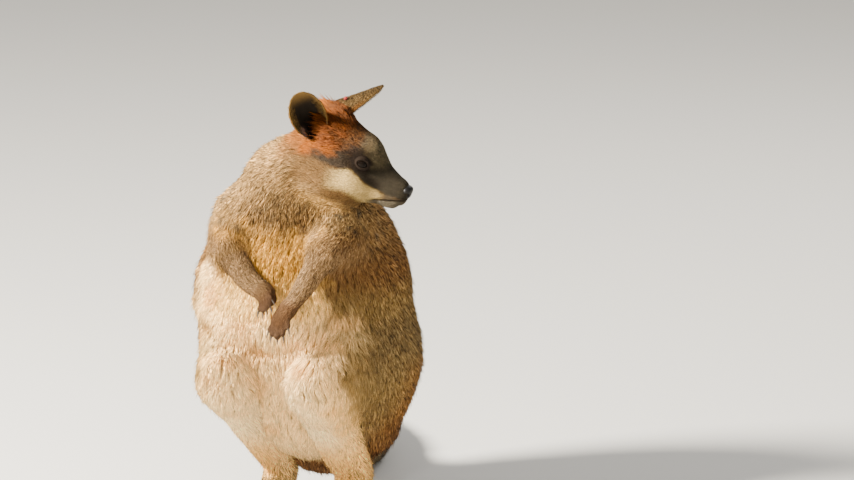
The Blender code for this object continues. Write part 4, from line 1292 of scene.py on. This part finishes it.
def clump_centres(points, size, seed):
    """The nearest point of a jittered cubic grid, whose cells have the given size."""
    cell = np.floor(points / size)
    best, centre = np.full(len(points), np.inf), np.zeros_like(points)
    turns = np.array([[127.1, 311.7, 74.7], [269.5, 183.3, 246.1], [113.5, 271.9, 124.6]])
    for step in itertools.product((-1.0, 0.0, 1.0), repeat=3):
        corner = cell + step
        jitter = np.abs(np.sin(corner @ turns + seed) * 437.585) % 1.0
        place = (corner + 0.1 + 0.8 * jitter) * size
        square = ((points - place) ** 2).sum(axis=1)
        closer = square < best
        best[closer] = square[closer]
        centre[closer] = place[closer]
    return centre


TILE_SPAN, TILE_EDGE = 0.155, 0.005


def tile(index):
    """Where each part's square lies in the bake map: a 6 by 6 grid of tiles."""
    index = np.asarray(index)
    return np.stack([index % 6, index // 6], axis=-1) / 6.0


GUARD_SHARE = 0.06
CLUMP_SIZE = 8.0


def flat_part(v, normal):
    """What is left of vectors when their part along the normals is taken away."""
    return v - np.sum(v * normal, axis=1, keepdims=True) * normal


def grow_coat(skin, parts, fields, colours, material):
    """Sows the whole body with tufts, region by region."""
    rng = np.random.default_rng(SEED)
    points, normals = points_of(skin), normals_of(skin)
    edges = edges_of(skin)
    normal_soft = unit(smooth_over(normals, edges, len(points), 3))
    way = smooth_over(fields["way"], edges, len(points), 12)
    swirl = waves(points, 60.0, 21) * 0.24 + waves(points, 24.0, 22) * 0.18
    way = unit(flat_part(way, normal_soft))
    way = unit(way * np.cos(swirl)[:, None] + np.cross(normal_soft, way) * np.sin(swirl)[:, None])
    region_of = np.array([list(DENSITY).index(part["region"]) for part in parts])[fields["part"]]
    ruff = crown_ruff(points)
    uneven = 0.9 + 0.22 * ramp(-0.6, 0.9, waves(points, 30.0, 23))
    values = {
        "way": way,
        "hair": fields["hair"] * (1.0 + 0.9 * ruff),
        "depth": fields["depth"] * uneven * (1.0 + 1.2 * ruff),
        "colour": colours,
        "grizzle": grizzle_field(points, fields, parts),
    }
    density = density_field(points, normals, region_of, fields, parts) * 1.0
    roots, root_normals, at, near = sow(points, normal_soft, triangles_of(skin), values, density, rng)
    n = len(roots)
    clumpy = ramp(8.0, 13.0, at["hair"])
    offset = flat_part(clump_centres(roots, CLUMP_SIZE, 5.0) - roots, root_normals) / CLUMP_SIZE
    edge = np.clip(np.linalg.norm(offset, axis=1) / 0.55, 0.0, 1.0) * clumpy
    guard = (rng.random(n) < GUARD_SHARE) * ramp(4.0, 9.0, at["hair"])
    length = at["hair"] * rng.uniform(0.75, 1.25, n) * (1.0 + 0.45 * guard)
    rise = at["depth"] * rng.uniform(0.75, 1.08, n) * (1.05 - 0.20 * edge)
    slope = np.clip(rise / np.maximum(length, 0.5), 0.08, 0.85)
    droop = np.arcsin(np.clip(slope * 0.62, 0.04, 0.75)) + 0.22 * guard
    lift = np.arcsin(np.clip(slope * 1.38, 0.08, 0.95)) + 0.10 * guard
    width = np.clip(0.26 + 0.044 * length, 0.32, 0.95) * rng.uniform(0.75, 1.3, n) * (1.0 - 0.5 * guard)
    heading = unit(flat_part(at["way"], root_normals))
    aside = np.cross(root_normals, heading)
    turn = rng.normal(0.0, 0.12, n) + 0.45 * clumpy * np.sum(offset * aside, axis=1)
    heading = unit(heading * np.cos(turn)[:, None] + aside * np.sin(turn)[:, None])
    # Painted shade: tufts towards a clump's edge are darkened, as shade in the gaps between clumps.
    inks = tuft_inks(at["colour"] * (1.03 - 0.16 * edge**2)[:, None], at["grizzle"], rng)
    part_index = fields["part"][near]
    places = part_map(roots, part_index, parts) * TILE_SPAN + TILE_EDGE + tile(part_index)
    columns = (roots, root_normals, heading, length, width, lift, droop)
    region = region_of[near]
    for r, name in enumerate(DENSITY):
        here = np.flatnonzero(region == r)
        here = here[np.argsort(roots[here, 2])]
        chunks = np.array_split(here, max(1, math.ceil(len(here) / MOST_TUFTS)))
        for number, chunk in enumerate(chunks, start=1):
            here_inks = [ink[chunk] for ink in inks]
            arrays = tuft_arrays(*(column[chunk] for column in columns), here_inks, places[chunk])
            coat_object(f"coat_{name}_{number}", arrays, material)
        print("coat", name, len(here), "tufts in", len(chunks))
    print("coat tufts", n)


HEAD_DENSITY_AT, HEAD_DENSITY = (0, 30, 60, 100, 130), (3.2, 3.0, 2.6, 1.9, 1.5)


def density_field(points, normals, region_of, fields, parts):
    """Tufts per square millimetre, with none on soles, nose pad, eye openings and inside the ears."""
    density = np.array(list(DENSITY.values()))[region_of]
    back, _, _ = head_coordinates(points)
    on_head = fields["weight"][[p["name"] for p in parts].index("head")] > 0.5
    density = np.where(on_head, np.interp(back, HEAD_DENSITY_AT, HEAD_DENSITY), density)
    sole = (points[:, 2] < 1.2) & (normals[:, 2] < -0.5)
    in_ear = in_ears(points) > 0.2
    return np.where(sole | (on_head & nose_field(points)) | in_eye_opening(points) | in_ear, 0.0, density)


# Each kind of hair on an ear: tufts, reach along it and across it, length, width, lift, splay towards the
# rim and how far its colour goes to the rim's.
EAR_HAIR = {
    "back": (6500, (0.0, 0.97), (-0.98, 0.98), 4.2, 0.48, 0.16, 0.0, 0.0),
    "rim": (1500, (0.03, 0.95), (0.95, 1.0), 3.0, 0.26, 0.35, 0.9, 0.8),
    "inside": (900, (0.02, 0.70), (0.60, 0.97), 4.5, 0.26, 0.35, -0.5, 0.3),
}
EAR_TILES = {"r": 32, "l": 34}


def ear_tufts(side, kind, rng):
    """Tuft arrays of one kind of hair on an ear."""
    count, reach, across, hair, width, lift, splay, pale = EAR_HAIR[kind]
    count = count // 1
    behind = kind == "back"
    s = rng.uniform(*reach, count)
    b = rng.uniform(*across, count) * (1.0 if behind else rng.choice([-1.0, 1.0], count))
    root = ear_sheet(side, s, b, EAR_THICK if behind else 0.0)
    up = ear_sheet(side, s + 0.01, b, 0.0) - ear_sheet(side, s, b, 0.0)
    aside = ear_sheet(side, s, b + 0.01, 0.0) - ear_sheet(side, s, b - 0.01, 0.0)
    outward = unit(np.cross(aside, up))
    outward *= np.sign(np.sum(outward * -unit(EARS[side][2]), axis=1, keepdims=True))
    normal = outward if behind else -outward
    way = unit(unit(up) + splay * unit(aside) * np.sign(b)[:, None])
    turn = rng.normal(0.0, 0.22, count)[:, None]
    way = unit(way * np.cos(turn) + np.cross(normal, way) * np.sin(turn))
    length = hair * rng.uniform(0.6, 1.3, count)
    length = length * (1.0 + 0.9 * ramp(0.3, 0.0, s)) * (1.0 - 0.5 * ramp(0.8, 1.0, s))
    colour = ear_markings(np.stack([s, b], axis=1), np.full(count, 0.0 if behind else 1.0))
    if not behind:
        colour = mix(colour, PALETTE["ear_rim"], np.full(count, pale))
        colour = mix(colour, PALETTE["nape_rust"], ramp(0.25, 0.0, s))
    inks = tuft_inks(colour, np.full(count, 0.6), rng)
    places = np.stack([s, b / 2.0 + 0.5], axis=1) * TILE_SPAN + TILE_EDGE
    places = places + tile(EAR_TILES[side] + (not behind))
    lifts = lift * rng.uniform(0.6, 1.3, count)
    return tuft_arrays(root, normal, way, length, np.full(count, width), lifts, lifts * 0.5, inks, places)


def ear_coat(side, material):
    """Short hair over an ear's back, a pale fringe round its rim and long thin hairs inside its edges."""
    rng = np.random.default_rng(SEED + ord(side))
    kinds = [ear_tufts(side, kind, rng) for kind in EAR_HAIR]
    coat_object(f"coat_ear_{side}", [np.concatenate(column) for column in zip(*kinds)], material)


LIP_HAIRS, LASHES = 16, 34
WHISKER_RADIUS, LASH_RADIUS = 0.16, 0.10
WHISKER_DROOP = np.array([0.0, 0.0, -0.22])
# Hairs of brow and cheek: how far each is behind and above the eye, and its length.
BROW_HAIRS = np.array([(-4.0, 13.0, 16.0), (1.0, 14.0, 14.0), (18.0, -18.0, 15.0), (20.0, -15.0, 13.0)])


def whisker_roots(sign, rng):
    """One side's roots, ways, lengths and radii: hairs of lip, brow and cheek, then the lashes."""
    back = rng.uniform(7.0, 24.0, LIP_HAIRS)
    high = mouth_height(back) + rng.uniform(3.0, 10.0, LIP_HAIRS)
    back = np.concatenate([back, EYE_BACK + BROW_HAIRS[:, 0]])
    high = np.concatenate([high, EYE_HEIGHT + BROW_HAIRS[:, 1]])
    out = sign * (np.interp(back, [row[0] for row in HEAD], [row[3] for row in HEAD]) * 0.93 - 1.0)
    roots = head_point(back[:, None], high[:, None], out[:, None])
    lean_back = rng.normal(0.9, 0.18, (len(back), 1))
    lean_up = rng.normal(-0.1, 0.2, (len(back), 1))
    ways = unit(sign * LEFT - FORWARD * lean_back + UP * lean_up)
    lengths = np.concatenate([rng.uniform(14.0, 30.0, LIP_HAIRS), BROW_HAIRS[:, 2]])
    _, outward, up, fore = eye_frame(sign)
    t = np.radians(rng.uniform(35.0, 145.0, LASHES))
    lash_roots = eye_point(sign, LID_INNER, 0.62, t)
    lash_ways = unit(outward + up * 0.55 + fore * 0.5 * np.cos(t)[:, None])
    lengths = np.concatenate([lengths, rng.uniform(2.5, 4.5, LASHES)])
    radii = np.repeat([WHISKER_RADIUS, LASH_RADIUS], [len(back), LASHES])
    return np.vstack([roots, lash_roots]), np.vstack([ways, lash_ways]), lengths, radii


def whiskers(material):
    """Stiff hairs of the face: three-sided tapering rods round root + way*l*s + WHISKER_DROOP*l*s^2."""
    rng = np.random.default_rng(SEED + 3)
    sides = [whisker_roots(sign, rng) for sign in (1.0, -1.0)]
    root, way, length, radius = (np.concatenate(column) for column in zip(*sides))
    s = np.linspace(0.0, 1.0, 6)[:, None, None]
    middle = root + way * (length[:, None] * s) + WHISKER_DROOP * (length[:, None] * s**2)
    side = unit(np.cross(way, Z))
    third = np.cross(side, way)
    rings = np.stack([
        middle + (side * math.cos(a) + third * math.sin(a)) * (radius[:, None] * (1.02 - s))
        for a in np.radians([90.0, 210.0, 330.0])
    ], axis=2)
    points = rings.transpose(1, 0, 2, 3).reshape(-1, 3)
    each = 6 * 3
    starts = each * np.arange(len(root))[:, None, None]
    quads = (band_faces(6, 3) + starts).reshape(-1, 4)
    caps = (np.array([(0, 2, 1), (15, 16, 17)]) + starts).reshape(-1, 3)
    obj = mesh_object("whiskers", points, [quads, caps])
    paint(obj, np.tile(PALETTE["mask"], (len(points), 1)))
    places = np.stack([np.arange(len(root)) / len(root) * 0.15 + 0.84, np.full(len(root), 0.99)], axis=1)
    bake_map(obj, np.repeat(places, each, axis=0))
    obj.data.materials.append(material)
    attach(obj, "root")


def grizzle_field(points, fields, parts):
    """How strongly hairs are banded: full on neck, back and arms, slight on belly and chest."""
    z = points[:, 2]
    value = 0.35 + 0.65 * ramp(40.0, 80.0, np.abs(trunk_angle(points)))
    value = np.maximum(value, ramp(330.0, 370.0, z))
    on_arm = [i for i, part in enumerate(parts) if "arm_" in part["name"]]
    arms = sum(fields["weight"][i] for i in on_arm)
    value = np.maximum(value, 0.9 * np.clip(arms, 0.0, 1.0))
    back, high, _ = head_coordinates(points)
    head = fields["weight"][[p["name"] for p in parts].index("head")]
    face = 0.3 + 0.6 * ramp(10.0, 25.0, high) * ramp(84.0, 72.0, back)
    return value * (1.0 - head) + face * head


def in_eye_opening(points):
    """True on skin that lies under an eyeball's opening."""
    hidden = np.zeros(len(points), bool)
    for sign in (1.0, -1.0):
        hidden |= np.linalg.norm(points - eye_frame(sign)[0], axis=1) < LID_OUTER + 0.3
    return hidden


def nose_field(points):
    """True on the bare pad of the nose."""
    back, high, out = head_coordinates(points)
    deep, wide, tall = NOSE_SIZE
    return ((back - NOSE_BACK) / deep) ** 2 + (out / wide) ** 2 + ((high - NOSE_HIGH) / tall) ** 2 < 1.1


# ---------------------------------------------------------------- eyes, nose, claws, tag


def eyeball(sign, material, rows=28, around=48):
    """A sphere on the eye's own axes with a bulging cornea: r = R - 0.35 + 0.45*exp(-(q/0.5)^2)."""
    q = np.linspace(0.0, math.pi, rows + 2)[1:-1][:, None]
    t = np.linspace(0.0, 2.0 * math.pi, around, endpoint=False)
    rings = eye_point(sign, EYE_RADIUS - 0.35 + 0.45 * bump(0.0, 0.5, q), q, t)
    centre, out, _, _ = eye_frame(sign)
    ends = np.stack([centre + out * (EYE_RADIUS + 0.1), centre - out * (EYE_RADIUS - 0.35)])
    quads, fans = ring_faces(rows, around)
    name = "eyeball_l" if sign > 0 else "eyeball_r"
    obj = mesh_object(name, np.vstack([rings.reshape(-1, 3), ends]), [quads, fans])
    fix_normals(obj)
    obj.data.materials.append(material)
    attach(obj, "root")
    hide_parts("eye_l" if sign > 0 else "eye_r")


def fix_normals(obj):
    """Turns all faces out."""
    made = bmesh.new()
    made.from_mesh(obj.data)
    bmesh.ops.recalc_face_normals(made, faces=made.faces)
    made.to_mesh(obj.data)
    made.free()


def nose_pad(material, rows=56, around=96):
    """The bare pad: an ellipsoid with a groove down its middle and a comma-shaped pit for each nostril.

    On the unit sphere (fore, side, high), size = (1 - 0.42*pit - 0.05*groove)*(1 + 0.5*fore^2*high^2).
    """
    q = np.linspace(0.0, math.pi, rows + 2)[1:-1][:, None]
    t = np.linspace(0.0, 2.0 * math.pi, around, endpoint=False)
    fore = np.cos(q) * np.ones_like(t)
    side = np.sin(q) * np.cos(t)
    high = np.sin(q) * np.sin(t)
    across = np.abs(side) - 0.66 - 0.22 * ramp(-0.2, -0.7, fore - 0.8)
    hollow = bump(0.0, 0.15, across) * bump(-0.26, 0.20, high)
    tail = bump(0.86, 0.12, np.abs(side)) * bump(-0.10, 0.12, high)
    pit = np.maximum(hollow, 0.8 * tail) * ramp(-0.1, 0.2, fore)
    groove = bump(0.0, 0.05, side) * ramp(0.2, 0.6, fore) * ramp(0.35, 0.0, high)
    size = (1.0 - 0.42 * pit - 0.05 * groove) * (1.0 + 0.5 * np.maximum(fore, 0.0) ** 2 * high**2)
    deep, wide, tall = NOSE_SIZE
    place = (
        head_point(NOSE_BACK, NOSE_HIGH)
        + FORWARD * (fore * size * deep)[..., None]
        + LEFT * (side * size * wide)[..., None]
        + UP * (high * size * tall)[..., None]
    )
    front, rear = NOSE_BACK - 0.955 * deep, NOSE_BACK + deep
    ends = np.stack([head_point(front, NOSE_HIGH), head_point(rear, NOSE_HIGH)])
    quads, fans = ring_faces(rows, around)
    obj = mesh_object("nose_pad", np.vstack([place.reshape(-1, 3), ends]), [quads, fans])
    fix_normals(obj)
    obj.data.materials.append(material)
    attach(obj, "root")
    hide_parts("nose")


# Claws of the left foot: name, root, tip and radius.
FOOT_CLAWS = [
    ("four", (59.3, -121, 8.5), (60.8, -147, 2.6), 4.4),
    ("five", (72.3, -93, 7.0), (74.0, -111, 2.2), 3.1),
    ("three", (45.0, -86, 7.0), (45.8, -97.5, 2.2), 1.9),
    ("two", (40.6, -85.5, 7.0), (40.4, -97, 2.2), 1.9),
]
HAND_CLAW_LENGTH, HAND_CLAW_RADIUS = 9.5, 1.35


def claw(name, node, root, tip, radius, material, rows=14, around=14):
    """A curved horn: radius*(1 - s^1.6), flatter below, on a line that arches by radius*0.9*s*(1 - s)."""
    root, tip = np.asarray(root, float), np.asarray(tip, float)
    axis = unit(tip - root)
    side = unit(np.cross(axis, (0.3, 0.2, 1.0)))
    third = np.cross(side, axis)
    third = third if third[2] > 0 else -third
    s = np.linspace(0.0, 1.0, rows)[:-1][:, None]
    t = np.linspace(0.0, 2.0 * math.pi, around, endpoint=False)
    size = radius * (1.0 - s**1.6) + 0.05
    middle = root + (tip - root) * s + third * radius * 0.9 * s * (1.0 - s)
    rise = np.where(np.sin(t) < 0, 0.75, 1.0) * np.sin(t)
    rings = (
        middle[:, None, :]
        + side * (size * np.cos(t) * 0.85)[..., None]
        + third * (size * rise)[..., None]
    )
    quads, fans = ring_faces(rows - 1, around)
    obj = mesh_object(name, np.vstack([rings.reshape(-1, 3), root - axis * 0.3, tip]), [quads, fans])
    fix_normals(obj)
    obj.data.materials.append(material)
    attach(obj, "root")
    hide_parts(node)


def all_claws(material):
    """Every claw, on the lines that the digits give."""
    for suffix, turn in (("l", 1.0), ("r", -1.0)):
        for name, root, tip, radius in FOOT_CLAWS:
            root, tip = (root[0] * turn, *root[1:]), (tip[0] * turn, *tip[1:])
            claw(f"horn_foot_{suffix}_{name}", f"claw_foot_{suffix}_{name}", root, tip, radius, material)
    for suffix, digits in (("l", DIGITS_L), ("r", DIGITS_R)):
        for number, (root, tip, radius) in enumerate(digits, start=1):
            along = unit(np.subtract(tip, root) + np.array([0.0, 4.0, -5.0]))
            start = np.asarray(tip, float) + along * radius * 0.35
            end = start + along * HAND_CLAW_LENGTH
            names = f"horn_hand_{suffix}{number}", f"claw_hand_{suffix}{number}"
            claw(*names, start, end, HAND_CLAW_RADIUS, material)


# ---------------------------------------------------------------- materials


def node(tree, kind, settings=None, links=None):
    """Adds a node with its settings and links; a setting whose name is a socket goes on the socket."""
    made = tree.nodes.new(kind)
    for key, value in (settings or {}).items():
        if key in made.inputs:
            made.inputs[key].default_value = value
        else:
            setattr(made, key, value)
    for key, source in (links or {}).items():
        tree.links.new(source, made.inputs[key])
    return made


def new_material(name):
    """A material with an empty tree, and that tree."""
    made = bpy.data.materials.new(name)
    made.use_nodes = True
    made.node_tree.nodes.clear()
    return made, made.node_tree


def opaque(hex_colour):
    """A socket's colour from sRGB hex."""
    return (*linear(hex_colour), 1.0)


# Sizes of the patterns, in millimetres.
HAIR_GRAIN, NAP_GRAIN, NOSE_PEBBLE, HORN_STREAK = 2.381, 1.111, 0.909, 2.0


def speckled_markings(tree, size, detail, low, high):
    """The stored colours times a noise of the given grain that runs from low to high, and that noise."""
    ink = node(tree, "ShaderNodeAttribute", {"attribute_name": "markings"})
    place = node(tree, "ShaderNodeTexCoord")
    grain = node(tree, "ShaderNodeTexNoise", {"Scale": 1.0 / (size * MM), "Detail": detail},
                 {"Vector": place.outputs["Object"]})
    level = node(tree, "ShaderNodeMapRange", {"To Min": low, "To Max": high},
                 {"Value": grain.outputs["Fac"]})
    tint = node(tree, "ShaderNodeVectorMath", {"operation": "SCALE"},
                {"Vector": ink.outputs["Color"], "Scale": level.outputs["Result"]})
    return tint.outputs["Vector"], grain.outputs["Fac"]


def fur_material():
    """Banded guard hair: dry, fine keratin, so matt with only a trace of gloss."""
    made, tree = new_material("guard_hair")
    colour, _ = speckled_markings(tree, HAIR_GRAIN, 2.0, 0.86, 1.14)
    shader = node(tree, "ShaderNodeBsdfPrincipled", {"Roughness": 0.7, "Specular IOR Level": 0.12},
                  {"Base Color": colour})
    node(tree, "ShaderNodeOutputMaterial", links={"Surface": shader.outputs["BSDF"]})
    return made


def hide_material():
    """Skin under the coat: dense underfur, so matt, with a fine nap as bump."""
    made, tree = new_material("underfur")
    colour, nap = speckled_markings(tree, NAP_GRAIN, 3.0, 0.55, 1.15)
    ridge = node(tree, "ShaderNodeBump", {"Strength": 0.5, "Distance": 0.8 * MM}, {"Height": nap})
    shader = node(tree, "ShaderNodeBsdfPrincipled", {"Roughness": 0.85, "Specular IOR Level": 0.1},
                  {"Base Color": colour, "Normal": ridge.outputs["Normal"]})
    node(tree, "ShaderNodeOutputMaterial", links={"Surface": shader.outputs["BSDF"]})
    return made


def eye_material():
    """Dark brown iris and pupil under a wet cornea: nearly black, and smooth enough for sharp glints."""
    made, tree = new_material("wet_cornea")
    shader = node(tree, "ShaderNodeBsdfPrincipled", {
        "Base Color": opaque("0c0704"), "Roughness": 0.05, "IOR": 1.3, "Specular IOR Level": 0.14,
    })
    node(tree, "ShaderNodeOutputMaterial", links={"Surface": shader.outputs["BSDF"]})
    return made


def nose_material():
    """Bare rhinarium: moist dark skin with pebbles of about 0.9 mm."""
    made, tree = new_material("moist_nose_skin")
    place = node(tree, "ShaderNodeTexCoord")
    pebble = node(tree, "ShaderNodeTexVoronoi", {"Scale": 1.0 / (NOSE_PEBBLE * MM), "feature": "SMOOTH_F1"},
                  {"Vector": place.outputs["Object"]})
    ridge = node(tree, "ShaderNodeBump", {"Strength": 0.55, "Distance": 0.4 * MM, "invert": True},
                 {"Height": pebble.outputs["Distance"]})
    shader = node(tree, "ShaderNodeBsdfPrincipled", {
        "Base Color": opaque("0d0b0a"), "Roughness": 0.42, "Specular IOR Level": 0.22,
    }, {"Normal": ridge.outputs["Normal"]})
    node(tree, "ShaderNodeOutputMaterial", links={"Surface": shader.outputs["BSDF"]})
    return made


def horn_material():
    """Claw keratin: dark, smooth and worn dull, with faint streaks."""
    made, tree = new_material("dark_horn")
    place = node(tree, "ShaderNodeTexCoord")
    streak = node(tree, "ShaderNodeTexNoise", {"Scale": 1.0 / (HORN_STREAK * MM), "Detail": 3.0},
                  {"Vector": place.outputs["Object"]})
    ink = node(tree, "ShaderNodeMix", {"data_type": "RGBA", "A": opaque("2a211a"), "B": opaque("43362a")},
               {"Factor": streak.outputs["Fac"]})
    shader = node(tree, "ShaderNodeBsdfPrincipled", {"Roughness": 0.34, "Coat Weight": 0.2},
                  {"Base Color": ink.outputs["Result"]})
    node(tree, "ShaderNodeOutputMaterial", links={"Surface": shader.outputs["BSDF"]})
    return made


def plastic_material():
    """Moulded red acetal of the small ear stud: satin, slightly faded."""
    made, tree = new_material("red_acetal")
    shader = node(tree, "ShaderNodeBsdfPrincipled", {"Base Color": opaque("7a1f19"), "Roughness": 0.4})
    node(tree, "ShaderNodeOutputMaterial", links={"Surface": shader.outputs["BSDF"]})
    return made


def floor_material():
    """Matt pale paint of a studio floor."""
    made, tree = new_material("studio_floor")
    shader = node(tree, "ShaderNodeBsdfPrincipled", {"Base Color": opaque("d9d7d2"), "Roughness": 0.9})
    node(tree, "ShaderNodeOutputMaterial", links={"Surface": shader.outputs["BSDF"]})
    return made


# ---------------------------------------------------------------- stage

CAMERA_TURN, CAMERA_RISE = math.radians(20.0), math.radians(10.0)
CAMERA_DISTANCE, CAMERA_LENS = 6000.0, 216.0
AIM_RIGHT, AIM_HIGH = 148.0, 316.0


def camera_axes():
    """Right, up and away of the camera."""
    a, e = CAMERA_TURN, CAMERA_RISE
    right = np.array([math.cos(a), math.sin(a), 0.0])
    up = np.array([-math.sin(a) * math.sin(e), math.cos(a) * math.sin(e), math.cos(e)])
    away = np.array([-math.sin(a) * math.cos(e), math.cos(a) * math.cos(e), -math.sin(e)])
    return right, up, away


def place_camera():
    """A long lens six metres off, aimed beside the animal so that it stands left of the middle."""
    right, up, away = camera_axes()
    aim = right * AIM_RIGHT + up * AIM_HIGH
    eye = (aim - away * CAMERA_DISTANCE + ORIGIN) * MM
    data = bpy.data.cameras.new("camera")
    data.lens = CAMERA_LENS
    data.sensor_width = 36.0
    data.clip_end = 100.0
    obj = bpy.data.objects.new("camera", data)
    rotation = np.stack([right, up, -away], axis=1)
    turn = mathutils.Matrix(rotation.tolist()).to_4x4()
    obj.matrix_world = mathutils.Matrix.Translation(eye.tolist()) @ turn
    bpy.context.scene.collection.objects.link(obj)
    bpy.context.scene.camera = obj


def area_light(name, place, target, size, power, colour):
    """A soft round light aimed at a point; places and size in metres, power in watts."""
    data = bpy.data.lights.new(name, "AREA")
    data.shape = "DISK"
    data.size = size
    data.energy = power
    data.color = colour
    obj = bpy.data.objects.new(name, data)
    obj.location = place
    way = mathutils.Vector(target) - mathutils.Vector(place)
    obj.rotation_euler = way.to_track_quat("-Z", "Y").to_euler()
    bpy.context.scene.collection.objects.link(obj)


def stage():
    """Floor, world and lights."""
    side = 30000.0
    corners = np.array([(-side, -side, 0), (side, -side, 0), (side, side, 0), (-side, side, 0)], float)
    floor = mesh_object("floor", corners - [0, 0, 0.05], [np.array([[0, 1, 2, 3]])], smooth=False)
    floor.data.materials.append(floor_material())
    world = bpy.data.worlds.new("studio")
    world.use_nodes = True
    background = world.node_tree.nodes["Background"]
    background.inputs["Color"].default_value = (1.0, 0.975, 0.94, 1.0)
    background.inputs["Strength"].default_value = 0.52
    bpy.context.scene.world = world
    middle = tuple((ORIGIN + np.array([0.0, 0.0, 260.0])) * MM)
    area_light("key", (-2.3, -2.6, 2.2), middle, 0.9, 1160.0, (1.0, 0.94, 0.83))
    area_light("catch", (0.9, -3.6, 1.9), middle, 0.35, 26.0, (1.0, 1.0, 1.0))
    area_light("fill", (2.8, -2.2, 1.4), middle, 2.4, 18.0, (1.0, 0.98, 0.95))
    area_light("rim", (0.8, 2.6, 2.4), middle, 1.6, 40.0, (1.0, 0.98, 0.94))


# ---------------------------------------------------------------- the whole animal

FLESH = [
    "head", "neck", "chest", "belly", "rump", "tail_base", "tail_mid", "tail_tip",
    "upper_arm_l", "upper_arm_r", "forearm_l", "forearm_r", "hand_l", "hand_r",
    "thigh_l", "thigh_r", "shank_l", "shank_r", "foot_l", "foot_r", "ear_l", "ear_r",
]


def join_shells(skin, shells):
    """Adds closed shells to the skin's mesh, their points after its own."""
    points, quads = [points_of(skin)], []
    start = len(points[0])
    for shell_points, shell_quads in shells:
        points.append(shell_points)
        quads.append(shell_quads + start)
        start += len(shell_points)
    old = skin.data
    made = mesh_object("skin_joined", np.vstack(points), [triangles_of(skin), np.vstack(quads)])
    skin.data = made.data
    bpy.data.objects.remove(made)
    bpy.data.meshes.remove(old)


def build():
    """Skin with ears and lids, coat, eyes, nose, claws and stud."""
    parts = body_parts()
    skin = body_skin(parts)
    points = points_of(skin)
    fields = part_fields(points, parts)
    colours = body_markings(points, fields, parts)
    fur, hide = fur_material(), hide_material()
    grow_coat(skin, parts, fields, colours, fur)
    ear_coat("r", fur)
    ear_coat("l", fur)
    whiskers(fur)
    ears = [ear_shell("r"), ear_shell("l")]
    lids = [lid_shell(1.0), lid_shell(-1.0)]
    join_shells(skin, [ear[:2] for ear in ears] + lids)
    inks = [colours * 0.8]
    inks += [ear_markings(*ear[2:]) for ear in ears]
    inks += [spread("mask", len(lid[0])) * 0.7 for lid in lids]
    paint(skin, np.vstack(inks))
    skin.data.materials.clear()
    skin.data.materials.append(hide)
    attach(skin, "root")
    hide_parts(*FLESH)
    eyes = eye_material()
    eyeball(1.0, eyes)
    eyeball(-1.0, eyes)
    nose_pad(nose_material())
    all_claws(horn_material())
    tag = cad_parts["ear_tag"]
    tag.data.materials.clear()
    tag.data.materials.append(plastic_material())
    print("skin triangles", len(triangles_of(skin)))


build()
stage()
place_camera()
